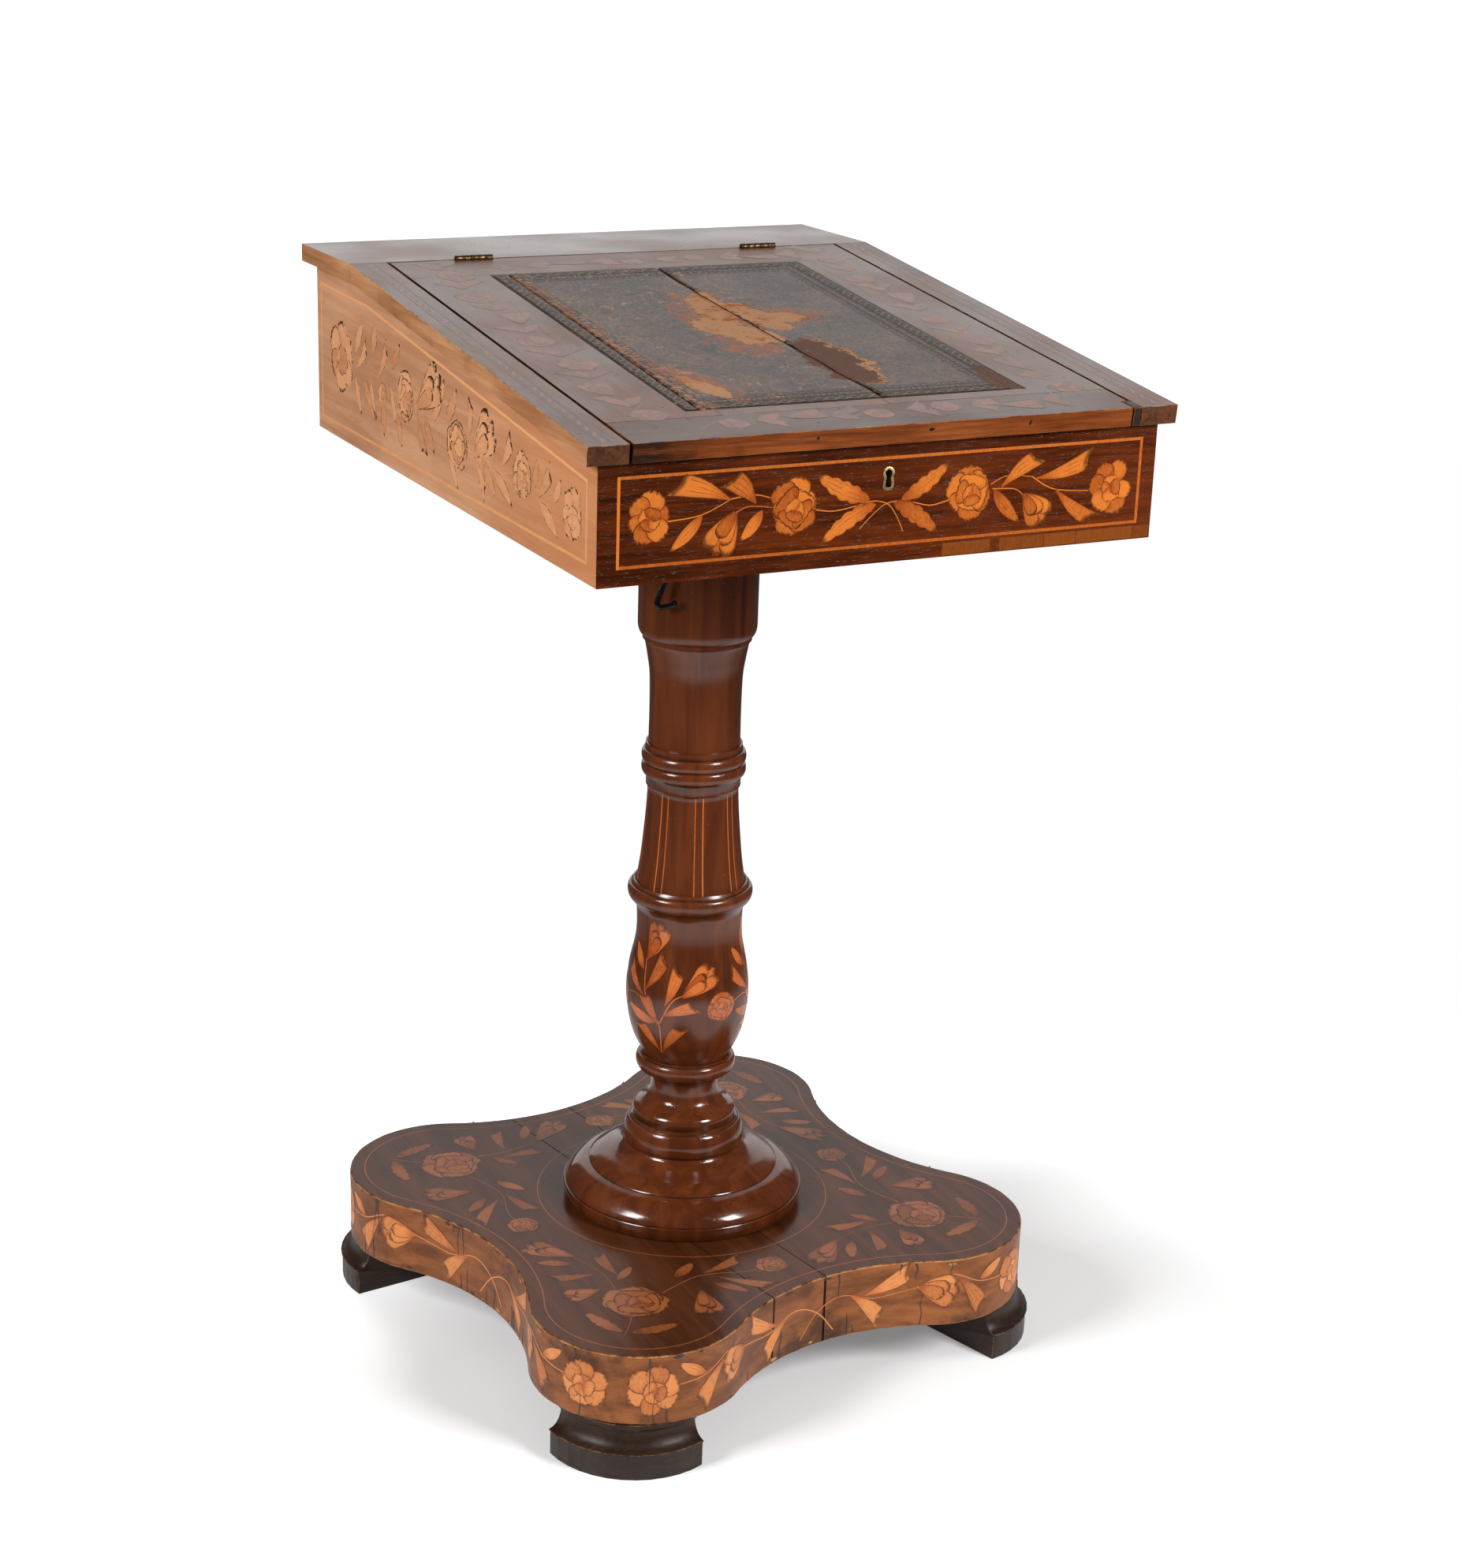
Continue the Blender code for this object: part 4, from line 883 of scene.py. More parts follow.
class Ground(Protocol):
    """A surface with two flat coordinates."""

    def at(self, u: float, v: float, lift: float) -> Vector:
        """The point over a place on the surface."""


@dataclass(frozen=True)
class FlatGround:
    """A flat face: its origin and the directions of its two coordinates, outwards to the right hand."""

    origin: Vector
    along: Vector
    up: Vector

    def at(self, u: float, v: float, lift: float) -> Vector:
        """The point over a place on the face."""
        return self.origin + self.along * u + self.up * v + self.along.cross(self.up) * lift


@dataclass(frozen=True)
class TurnedGround:
    """A turned surface: the first coordinate runs round it, at the length of its widest ring."""

    profile: tuple[Spot, ...]
    seat: float
    girth: float
    start: float

    def radius(self, height: float) -> float:
        """Radius of the turned piece at a height over its seat."""
        for (upper_r, upper_z), (lower_r, lower_z) in zip(self.profile, self.profile[1:]):
            if lower_z <= height <= upper_z and upper_z - lower_z > FLAT_STEP:
                return lower_r + (upper_r - lower_r) * (height - lower_z) / (upper_z - lower_z)
        return self.profile[-1][0]

    def at(self, u: float, v: float, lift: float) -> Vector:
        """The point over a place on the turned surface."""
        angle = self.start + u / self.girth
        reach = self.radius(v) + lift
        return Vector((reach * math.cos(angle), COLUMN_Y + reach * math.sin(angle), self.seat + v))


@dataclass(frozen=True)
class EdgeGround:
    """The platform's edge: the first coordinate runs along it, from the middle of its right side."""

    plan: "PlatformPlan"

    def at(self, u: float, v: float, lift: float) -> Vector:
        """The point over a place on the edge."""
        spot, outward = self.plan.along(u)
        place = spot + outward * lift
        return on_base(place.x, place.y, PLATFORM_LOW + v)


def on_base(x: float, y: float, z: float) -> Vector:
    """A point of the turned base, in the row frame."""
    cosine, sine = math.cos(BASE_TURN), math.sin(BASE_TURN)
    return Vector((x * cosine - y * sine, COLUMN_Y + x * sine + y * cosine, z))


def on_slope(x: float, y: float, z: float) -> Vector:
    """A point of the slope's own frame, in the row frame."""
    return HINGE_AXIS + SLOPE_TURN @ Vector((x, y, z))


@dataclass(frozen=True)
class PlatformPlan:
    """Plan of the platform: four lobes joined by hollow sides, in the base's frame."""

    lobe: float = 0.145
    radius: float = 0.0875
    waist: float = 0.1925

    def arcs(self) -> tuple[float, float, float]:
        """Centre of a hollow, its radius, and the angle at which it runs into the lobes."""
        reach = self.waist - self.radius
        centre = (2 * self.lobe ** 2 - reach ** 2) / (2 * (self.lobe - reach))
        return centre, centre - self.waist, math.atan2(self.lobe, centre - self.lobe)

    def quarter(self) -> float:
        """Length of a quarter of the edge."""
        _, hollow, lean = self.arcs()
        return 2 * lean * hollow + (math.pi / 2 + 2 * lean) * self.radius

    def along(self, length: float) -> tuple[Vector, Vector]:
        """Place and outward direction at a length along the edge.

        Args:
            length: Length from the middle of the right side, anticlockwise.

        Returns:
            The point and the outward direction, in the base's frame.
        """
        centre, hollow, lean = self.arcs()
        quarter = self.quarter()
        turns = math.floor(length / quarter + 0.5)
        rest = length - turns * quarter
        side = -1.0 if rest < 0 else 1.0
        rest = abs(rest)
        if rest <= lean * hollow:
            angle = math.pi - rest / hollow
            spot = Vector((centre + hollow * math.cos(angle), hollow * math.sin(angle)))
            out = Vector((-math.cos(angle), -math.sin(angle)))
        else:
            angle = -lean + (rest - lean * hollow) / self.radius
            out = Vector((math.cos(angle), math.sin(angle)))
            spot = Vector((self.lobe, self.lobe)) + out * self.radius
        spot.y *= side
        out.y *= side
        spin = Matrix.Rotation(turns * math.pi / 2, 2)
        return spin @ spot, spin @ out


# Marquetry

@dataclass(frozen=True)
class Leaf:
    """A sawn leaf from its stalk to its tip, in millimetres on its ground."""

    base: Spot
    tip: Spot
    width: float
    cut: Cut = Cut.LANCE
    bend: float = 0.5


@dataclass(frozen=True)
class Stem:
    """A thin stem through a few points, in millimetres on its ground."""

    points: tuple[Spot, ...]
    width: float = 0.9
    taper: float = 0.35


@dataclass(frozen=True)
class Flower:
    """An open flower, in millimetres on its ground."""

    centre: Spot
    reach: Spot
    bloom: Bloom = Bloom.PEONY
    turn: float = 0.0


@dataclass(frozen=True)
class Tulip:
    """A half-open flower from its stalk to its mouth, in millimetres on its ground."""

    base: Spot
    tip: Spot
    width: float


Motif = Leaf | Stem | Flower | Tulip

# Petals of a half-open flower: lean, and shares of its length and width

TULIP_FAN = ((0.0, 0.97, 0.52), (0.36, 0.92, 0.54), (-0.36, 0.94, 0.54), (0.15, 0.72, 0.50),
             (-0.20, 0.62, 0.46))

# Leaves that turn by less than this, in radians, are straight

STRAIGHT_BEND = 1e-3


def moved(motif: Motif, change: Callable[[Spot], Spot], mirrored: bool = False) -> Motif:
    """A motif carried to another place.

    Args:
        motif: The motif.
        change: Where each point goes.
        mirrored: Whether that turns the motif over.

    Returns:
        The motif in its new place.
    """
    if isinstance(motif, Leaf):
        bend = -motif.bend if mirrored else motif.bend
        return replace(motif, base=change(motif.base), tip=change(motif.tip), bend=bend)
    if isinstance(motif, Stem):
        return replace(motif, points=tuple(change(p) for p in motif.points))
    if isinstance(motif, Flower):
        return replace(motif, centre=change(motif.centre))
    return replace(motif, base=change(motif.base), tip=change(motif.tip))


def outline(cut: Cut, s: float, t: float, lean: float) -> Spot:
    """Half width and push along the leaf at a place on it.

    Args:
        cut: The sawn outline.
        s: Place along the leaf, from 0 to 1.
        t: Place across it, from -1 to 1.
        lean: One or minus one for the side that its tip runs out to.

    Returns:
        The half width as a share of the width, and the push as a share of the length.
    """
    if cut is Cut.LANCE:
        return 0.5 * math.sin(math.pi * s ** 0.85) ** 0.85 + 0.012, 0.0
    if cut is Cut.FLARED:
        half = 0.5 * (0.10 + 0.90 * math.sin(math.pi * 0.58 * s ** 1.1))
        return half, s ** 3 * (0.14 * t * lean - 0.03 * math.cos(3.2 * t))
    if cut is Cut.SERRATED:
        lobe = abs(math.sin(math.pi * (5.0 * s + 0.15)))
        return 0.5 * math.sin(math.pi * s ** 0.85) ** 0.7 * (0.74 + 0.26 * lobe) + 0.012, 0.0
    if cut is Cut.PETAL:
        half = 0.5 * (0.35 + 0.65 * math.sin(math.pi * (0.08 + 0.72 * s)))
        return half, s * s * (0.15 * (1 - t * t) + 0.05 * math.cos(3.6 * math.pi * t + lean))
    half = 0.5 * (0.24 + 0.76 * math.sin(math.pi * (0.03 + 0.58 * s)))
    return half, s * s * (0.20 * (1 - t * t) + 0.02 * math.cos(3 * math.pi * t + lean))


def spline(points: Sequence[complex], i: int, t: float) -> complex:
    """A place on a smooth curve through points.

    Args:
        points: The points, two or more.
        i: Number of the point before the place.
        t: Share of the way to the next point.

    Returns:
        The place.
    """
    last = len(points) - 1
    a, b = points[max(i - 1, 0)], points[i]
    c, d = points[i + 1], points[min(i + 2, last)]
    square = 2 * a - 5 * b + 4 * c - d
    cube = 3 * b - a - 3 * c + d
    return 0.5 * (2 * b + (c - a) * t + square * t * t + cube * t ** 3)


class InlayCutter:
    """Cuts motifs as thin sheets and lays them on a ground."""

    def __init__(self, ground: Ground, seed: int, lift: float = INLAY_LIFT) -> None:
        """Starts an inlay on a ground, at a lift over it."""
        self.ground = ground
        self.lift = lift
        self.draw = random.Random(seed)
        self.bm = bmesh.new()
        self.uv = self.bm.loops.layers.uv.verify()
        self.tone = self.bm.faces.layers.float.new("tone")
        self.kind = self.bm.faces.layers.float.new("kind")
        self.count = 0

    def sheet(self, plot: Callable[[float, float], complex], steps: int, rows: int, kind: Sheet,
              layer: int) -> None:
        """Lays one sheet.

        Args:
            plot: Place on the ground, in metres, for a place on the sheet.
            steps: Faces along the sheet.
            rows: Faces across it.
            kind: Its kind.
            layer: Layer over the ground.
        """
        lift = self.lift + LAYER_LIFT * layer + STAGGER * (self.count % STAGGERS)
        self.count += 1
        made = bmesh.ops.create_grid(self.bm, x_segments=steps, y_segments=rows, size=1.0,
                                     calc_uvs=True)
        verts = made["verts"]
        for vert in verts:
            spot = plot((vert.co.x + 1) / 2, vert.co.y)
            vert.co = self.ground.at(spot.real, spot.imag, lift)
        faces = {face for vert in verts for face in vert.link_faces}
        tone = self.draw.uniform(0.15, 0.95)
        for face in faces:
            face[self.tone] = tone
            face[self.kind] = kind.value
        middle = plot(0.5, 0.0)
        ahead, aside = plot(0.52, 0.0) - middle, plot(0.5, 0.05) - middle
        if ahead.real * aside.imag - ahead.imag * aside.real < 0:
            bmesh.ops.reverse_faces(self.bm, faces=list(faces))

    def leaf(self, base: complex, tip: complex, width: float, cut: Cut, bend: float,
             kind: Sheet = Sheet.LEAF, layer: int = 1) -> None:
        """Lays a leaf or petal.

        Args:
            base: Its stalk.
            tip: Its tip.
            width: Its width.
            cut: Its outline.
            bend: How far it turns from stalk to tip, in radians.
            kind: Whether it is a leaf or a petal.
            layer: Layer over the ground.
        """
        def spine(s: float) -> complex:
            return s if abs(bend) < STRAIGHT_BEND else (cmath.exp(1j * bend * s) - 1) / (1j * bend)

        reach = (tip - base) / spine(1.0)
        ratio = width / abs(reach)
        side = math.copysign(1.0, bend)

        def plot(s: float, t: float) -> complex:
            half, push = outline(cut, s, t, side)
            return base + reach * (spine(s) + (1j * half * t * ratio + push) * cmath.exp(1j * bend * s))

        steps = {Cut.SERRATED: 30, Cut.LANCE: 12}.get(cut, 9)
        self.sheet(plot, steps, 10 if cut is Cut.PETAL else 6, kind, layer)

    def stem(self, points: Sequence[complex], width: float, taper: float,
             steps: Optional[int] = None) -> None:
        """Lays a thin line through points.

        Args:
            points: Points on the ground.
            width: Its width at the first point.
            taper: Share of the width lost at the last point.
            steps: Faces along it.
        """
        last = len(points) - 1

        def spot(s: float) -> complex:
            place = min(max(s, 0.0), 1.0) * last
            i = min(int(place), last - 1)
            return spline(points, i, place - i)

        def plot(s: float, t: float) -> complex:
            way = spot(s + 0.004) - spot(s - 0.004)
            return spot(s) + 1j * way / abs(way) * width / 2 * t * (1 - taper * s)

        self.sheet(plot, steps or max(2, 7 * last), 1, Sheet.LINE, 0)

    def flower(self, centre: complex, reach: Spot, bloom: Bloom, turn: float) -> None:
        """Lays an open flower, ring over ring.

        Args:
            centre: Its middle.
            reach: Its half width and half height.
            bloom: Its kind.
            turn: Turn of its petals in radians.
        """
        for ring, (inner, outer, petals, overlap) in enumerate(bloom.value):
            shift = complex(0.05 * ring * reach[0], -0.06 * ring * reach[1])
            for i in range(petals):
                angle = turn + 2 * math.pi * (i + 0.5 * (ring % 2)) / petals
                angle += self.draw.uniform(-0.08, 0.08)
                way = complex(math.cos(angle) * reach[0], math.sin(angle) * reach[1])
                length = outer * self.draw.uniform(0.82, 1.0)
                width = overlap * 2 * math.pi * abs(way) * (outer * 0.72) / petals
                width *= self.draw.uniform(0.8, 1.15)
                self.leaf(centre + shift + way * inner, centre + shift + way * length, width, Cut.PETAL,
                          self.draw.uniform(-0.25, 0.25), Sheet.PETAL, 1 + ring)

    def tulip(self, base: complex, tip: complex, width: float) -> None:
        """Lays a half-open flower of fanned petals.

        Args:
            base: Its stalk.
            tip: The middle of its mouth.
            width: Its width at the mouth.
        """
        reach = tip - base
        for layer, (lean, length, share) in enumerate(TULIP_FAN):
            way = reach * length * cmath.exp(1j * lean * width / abs(reach))
            self.leaf(base, base + way, width * share, Cut.BUD, lean * 0.3, Sheet.PETAL, 1 + layer // 2)

    def lay(self, motifs: Iterable[Motif]) -> None:
        """Lays a list of motifs, given in millimetres."""
        for motif in motifs:
            if isinstance(motif, Leaf):
                self.leaf(complex(*motif.base) * MM, complex(*motif.tip) * MM, motif.width * MM,
                          motif.cut, motif.bend)
            elif isinstance(motif, Stem):
                self.stem([complex(*p) * MM for p in motif.points], motif.width * MM, motif.taper)
            elif isinstance(motif, Flower):
                reach = (motif.reach[0] * MM, motif.reach[1] * MM)
                self.flower(complex(*motif.centre) * MM, reach, motif.bloom, motif.turn)
            else:
                self.tulip(complex(*motif.base) * MM, complex(*motif.tip) * MM, motif.width * MM)

    def ribbon(self, points: Sequence[Spot], width: float) -> None:
        """Lays straight lines from point to point, in metres, each mitred by its neighbour's width."""
        for start, end in zip(points, points[1:]):
            first, last = complex(*start), complex(*end)
            way = (last - first) / abs(last - first) * width / 2
            self.stem([first - way, last + way], width, 0.0, max(1, int(abs(last - first) / 0.02)))

    def settle(self, name: str, body: str, slot: str, finish: InlayFinish) -> bpy.types.Object:
        """Finishes the inlay as one piece.

        Args:
            name: Name of the piece.
            body: CAD body that it rides on.
            finish: Its finish.

        Returns:
            The piece's object.
        """
        return settle(self.bm, name, body, [finish], thickness=INLAY_THICKNESS)


FRONT_MOTIFS: tuple[Motif, ...] = (
    Flower((-184, 46), (16.5, 19.5), Bloom.OPEN, 0.3),
    Stem(((-170, 42.5), (-145, 45), (-122, 54.5))),
    Leaf((-123, 54), (-163, 67), 16, Cut.FLARED, 0.35),
    Leaf((-144, 45), (-168, 21.5), 9.5, Cut.LANCE, -0.3),
    Stem(((-122, 54.5), (-104, 56), (-88, 51.5))),
    Leaf((-103.5, 50), (-122, 68), 16, Cut.FLARED, 0.45),
    Tulip((-119, 45), (-133, 20), 23),
    Stem(((-119, 44.5), (-108, 48.3), (-90, 46))),
    Leaf((-98.5, 45), (-115, 24.5), 9.5, Cut.LANCE, -0.4),
    Flower((-74.4, 45), (17.5, 20), Bloom.PEONY, 0.2),
    Stem(((-57, 42), (-43, 40), (-26.5, 42), (-12, 44.7), (0.3, 41.6), (8, 32), (13.4, 21))),
    Leaf((-14.6, 46), (-56, 66), 15, Cut.SERRATED, -0.35),
    Leaf((-9.5, 42.5), (-51.5, 17.5), 13, Cut.SERRATED, 0.35),
    Stem(((50, 41), (35, 38.3), (22.6, 41), (11.3, 43.4), (-2.2, 41.7), (-14, 33), (-21.4, 25.7))),
    Leaf((11, 44), (48, 68), 13, Cut.SERRATED, 0.35),
    Leaf((5, 42.3), (41, 18.6), 14, Cut.SERRATED, -0.35),
    Flower((66, 45.5), (17.6, 19.4), Bloom.PEONY, 0.6),
    Stem(((83.4, 49.7), (97, 55), (117.7, 52.8))),
    Leaf((92.5, 47), (121, 66.5), 13, Cut.FLARED, -0.35),
    Stem(((85, 46.3), (103, 45), (111, 40))),
    Leaf((86, 46), (109.4, 20.5), 10.5, Cut.LANCE, 0.35),
    Tulip((111.5, 40), (128, 22), 22),
    Stem(((117.7, 52.8), (136.6, 42.5), (168, 39))),
    Leaf((121.7, 51.4), (165, 63), 13, Cut.FLARED, 0.4),
    Leaf((138, 42.4), (169, 18.5), 12, Cut.FLARED, 0.4),
    Flower((184, 41), (17.5, 20.5), Bloom.OPEN, 0.9),
)

SIDE_MOTIFS: tuple[Motif, ...] = (
    Flower((-230, 68), (27, 27), Bloom.OPEN, 0.4),
    Stem(((-200, 74), (-166, 75.6), (-141, 65), (-120, 60))),
    Leaf((-153, 84), (-148, 109), 13, Cut.LANCE, -0.2),
    Leaf((-111, 80), (-92, 102), 10, Cut.SERRATED, 0.3),
    Leaf((-175, 60), (-150, 31.6), 11, Cut.LANCE, 0.3),
    Flower((-132, 56), (9, 9), Bloom.SMALL),
    Leaf((-128, 50), (-129, 22.5), 12, Cut.LANCE, 0.3),
    Leaf((-113, 65), (-103.5, 37), 9, Cut.LANCE, -0.3),
    Flower((-80, 63), (16, 21), Bloom.PEONY, 0.5),
    Stem(((-66, 62), (-48, 60), (-26.7, 50), (-3.3, 58.9), (15.7, 62.5))),
    Tulip((-54, 60.5), (-10, 88), 30),
    Leaf((-54, 56), (-38.7, 27.4), 12, Cut.FLARED, 0.2),
    Leaf((-38.4, 56.4), (-17, 31), 11, Cut.LANCE, 0.2),
    Leaf((8.2, 61), (29, 88.8), 13, Cut.SERRATED, 0.3),
    Flower((31, 48), (21, 18), Bloom.PEONY, 0.1),
    Stem(((50, 48), (70, 47), (90, 43), (112, 43), (140, 49))),
    Tulip((67.6, 48), (97, 74), 32),
    Leaf((64, 46), (86, 22.7), 11, Cut.FLARED, -0.3),
    Leaf((78.4, 47), (107, 22.6), 11, Cut.LANCE, -0.3),
    Leaf((103.4, 42), (138.5, 24), 11, Cut.LANCE, -0.3),
    Leaf((117.4, 49), (136, 71.7), 12, Cut.FLARED, 0.3),
    Flower((157, 50), (16, 17), Bloom.PEONY, 0.8),
    Stem(((172, 46), (188.7, 39), (208, 45.7), (230, 50.5))),
    Leaf((185, 41), (207.6, 63.5), 12, Cut.FLARED, 0.3),
    Leaf((188.7, 37.6), (221.6, 19.8), 11, Cut.LANCE, -0.3),
    Flower((246, 41.5), (15, 19), Bloom.OPEN, 0.2),
    Leaf((-196, 78), (-176, 104), 11, Cut.LANCE, -0.4),
    Leaf((-194, 66), (-170, 86), 10, Cut.FLARED, 0.4),
    Leaf((-196, 58), (-182, 30), 10, Cut.LANCE, 0.3),
    Leaf((-160, 68), (-152, 36), 10, Cut.FLARED, 0.2),
    Leaf((-143, 66), (-122, 94), 10, Cut.FLARED, 0.3),
    Leaf((-98, 46), (-88, 22), 11, Cut.LANCE, 0.2),
    Leaf((-22, 54), (4, 92), 11, Cut.LANCE, 0.3),
    Leaf((14, 34), (32, 14), 9, Cut.LANCE, -0.2),
    Leaf((52, 54), (58, 84), 11, Cut.FLARED, 0.25),
    Leaf((178, 46), (184, 68), 10, Cut.LANCE, 0.3),
    Leaf((214, 44), (226, 62), 9, Cut.LANCE, 0.3),
)

LOBE_MOTIFS: tuple[Motif, ...] = (
    Flower((147, 143), (26, 26), Bloom.PEONY, 0.2),
    Stem(((160, 158), (172, 172), (184, 183))),
    Leaf((183, 178), (190, 136), 13, Cut.SERRATED, -0.35),
    Leaf((178, 183), (137, 191), 13, Cut.SERRATED, 0.35),
)

FLANK_MOTIFS: tuple[Motif, ...] = (
    Stem(((143, -120), (136, -79), (150, -43), (152, -28)), 0.8),
    Leaf((127, -97), (114, -70), 11, Cut.LANCE, 0.3),
    Leaf((134, -73), (129, -34), 12, Cut.FLARED, 0.3),
    Leaf((146, -66), (180, -38), 12, Cut.FLARED, 0.35),
    Leaf((153, -76), (180, -60), 10, Cut.LANCE, -0.3),
    Tulip((157, -92), (190, -106), 22),
    Flower((152, -16), (14, 13), Bloom.PEONY),
    Stem(((150, 122), (143, 92), (146, 60), (153, 40)), 0.8),
    Tulip((147, 54), (168, 20), 22),
    Leaf((156, 64), (180, 46), 10, Cut.LANCE, 0.3),
    Leaf((148, 88), (182, 76), 11, Cut.FLARED, -0.3),
    Leaf((134, 100), (128, 62), 12, Cut.FLARED, -0.3),
    Leaf((139, 106), (116, 92), 9, Cut.LANCE, 0.3),
    Tulip((160, 112), (188, 108), 18),
)

EDGE_MOTIFS: tuple[Motif, ...] = (
    Stem(((-17, 9), (0, 29), (24, 38), (55, 30), (92, 36)), 1.1),
    Leaf((34, 35), (60, 11), 15, Cut.FLARED, -0.4),
    Leaf((46, 34), (84, 51), 15, Cut.FLARED, 0.4),
    Tulip((93, 36), (124, 31), 28),
    Stem(((92, 36), (120, 47), (148, 36), (176, 33)), 1.1),
    Leaf((128, 42), (151, 11), 16, Cut.FLARED, -0.4),
    Leaf((148, 38), (172, 52), 10, Cut.LANCE, 0.3),
    Flower((192, 30), (21, 21), Bloom.OPEN, 0.4),
)

SPRAY_MOTIFS: tuple[Motif, ...] = (
    Stem(((0, 15), (0.5, 43), (-13, 65), (-18, 97)), 1.0),
    Tulip((-17, 97), (-4, 127), 22),
    Leaf((-19, 88), (-37, 108), 9, Cut.LANCE, -0.3),
    Leaf((-15, 66), (-40, 88), 10, Cut.FLARED, -0.4),
    Leaf((-3, 45), (-38, 54), 10, Cut.LANCE, -0.4),
    Leaf((-14, 72), (2, 101), 12, Cut.FLARED, 0.3),
    Leaf((6, 62), (16, 92), 12, Cut.FLARED, 0.2),
    Leaf((-1, 43), (-16, 67), 12, Cut.FLARED, 0.2),
    Leaf((4, 52), (31, 62), 11, Cut.FLARED, -0.3),
    Stem(((1, 45), (12, 66), (21, 72)), 1.0),
    Tulip((21, 71), (46, 91), 20),
    Leaf((-1, 17), (-21, 40), 11, Cut.FLARED, 0.3),
    Leaf((2, 17), (20, 42), 11, Cut.FLARED, -0.3),
    Flower((55, 60), (13, 13.5), Bloom.PEONY, 0.3),
    Stem(((67, 62), (82, 65), (95, 60)), 0.9),
)


GARLAND_PITCH = 62.0
GARLAND_LEAVES = ((0.9, 26), (-0.8, 24), (0.5, 22))


def garland(start: Spot, end: Spot, wave: float, seed: int) -> list[Motif]:
    """A running garland of flowers and leaves between two points.

    Args:
        start: First point, in millimetres.
        end: Last point, in millimetres.
        wave: How far its stem swings to each side.
        seed: Draws its small differences.

    Returns:
        The motifs of the garland.
    """
    draw = random.Random(seed)
    first, last = complex(*start), complex(*end)
    way = (last - first) / abs(last - first)
    across = way * 1j
    count = max(2, round(abs(last - first) / GARLAND_PITCH))
    step = abs(last - first) / count

    def spot(along: float, aside: float) -> Spot:
        point = first + way * along + across * aside
        return (point.real, point.imag)

    motifs: list[Motif] = []
    line = [spot(step * i / 2, wave * (1 if i % 2 else -1) * 0.6) for i in range(2 * count + 1)]
    motifs.append(Stem(tuple(line), 0.8, 0.0))
    for i in range(count):
        middle = step * (i + 0.5)
        side = 1 if i % 2 else -1
        reach = wave * draw.uniform(0.85, 1.0)
        if i % 3 == 1:
            stalk, mouth = spot(middle - 14, 0.2 * wave * side), spot(middle + 14, 0.5 * wave * side)
            motifs.append(Tulip(stalk, mouth, reach * 1.4))
        else:
            motifs.append(Flower(spot(middle, 0.2 * wave * side), (reach * 0.95, reach * 0.9),
                                 Bloom.PEONY if i % 2 else Bloom.OPEN, draw.uniform(0, 1)))
        for lean, length in GARLAND_LEAVES:
            at = middle + step * draw.uniform(0.30, 0.46)
            tip = spot(at + length * 0.75, lean * wave * 1.05)
            cut = Cut.FLARED if draw.random() < 0.6 else Cut.LANCE
            bend = math.copysign(0.4, lean)
            motifs.append(Leaf(spot(at, 0.1 * wave), tip, draw.uniform(9, 12), cut, bend))
    return motifs


# Base

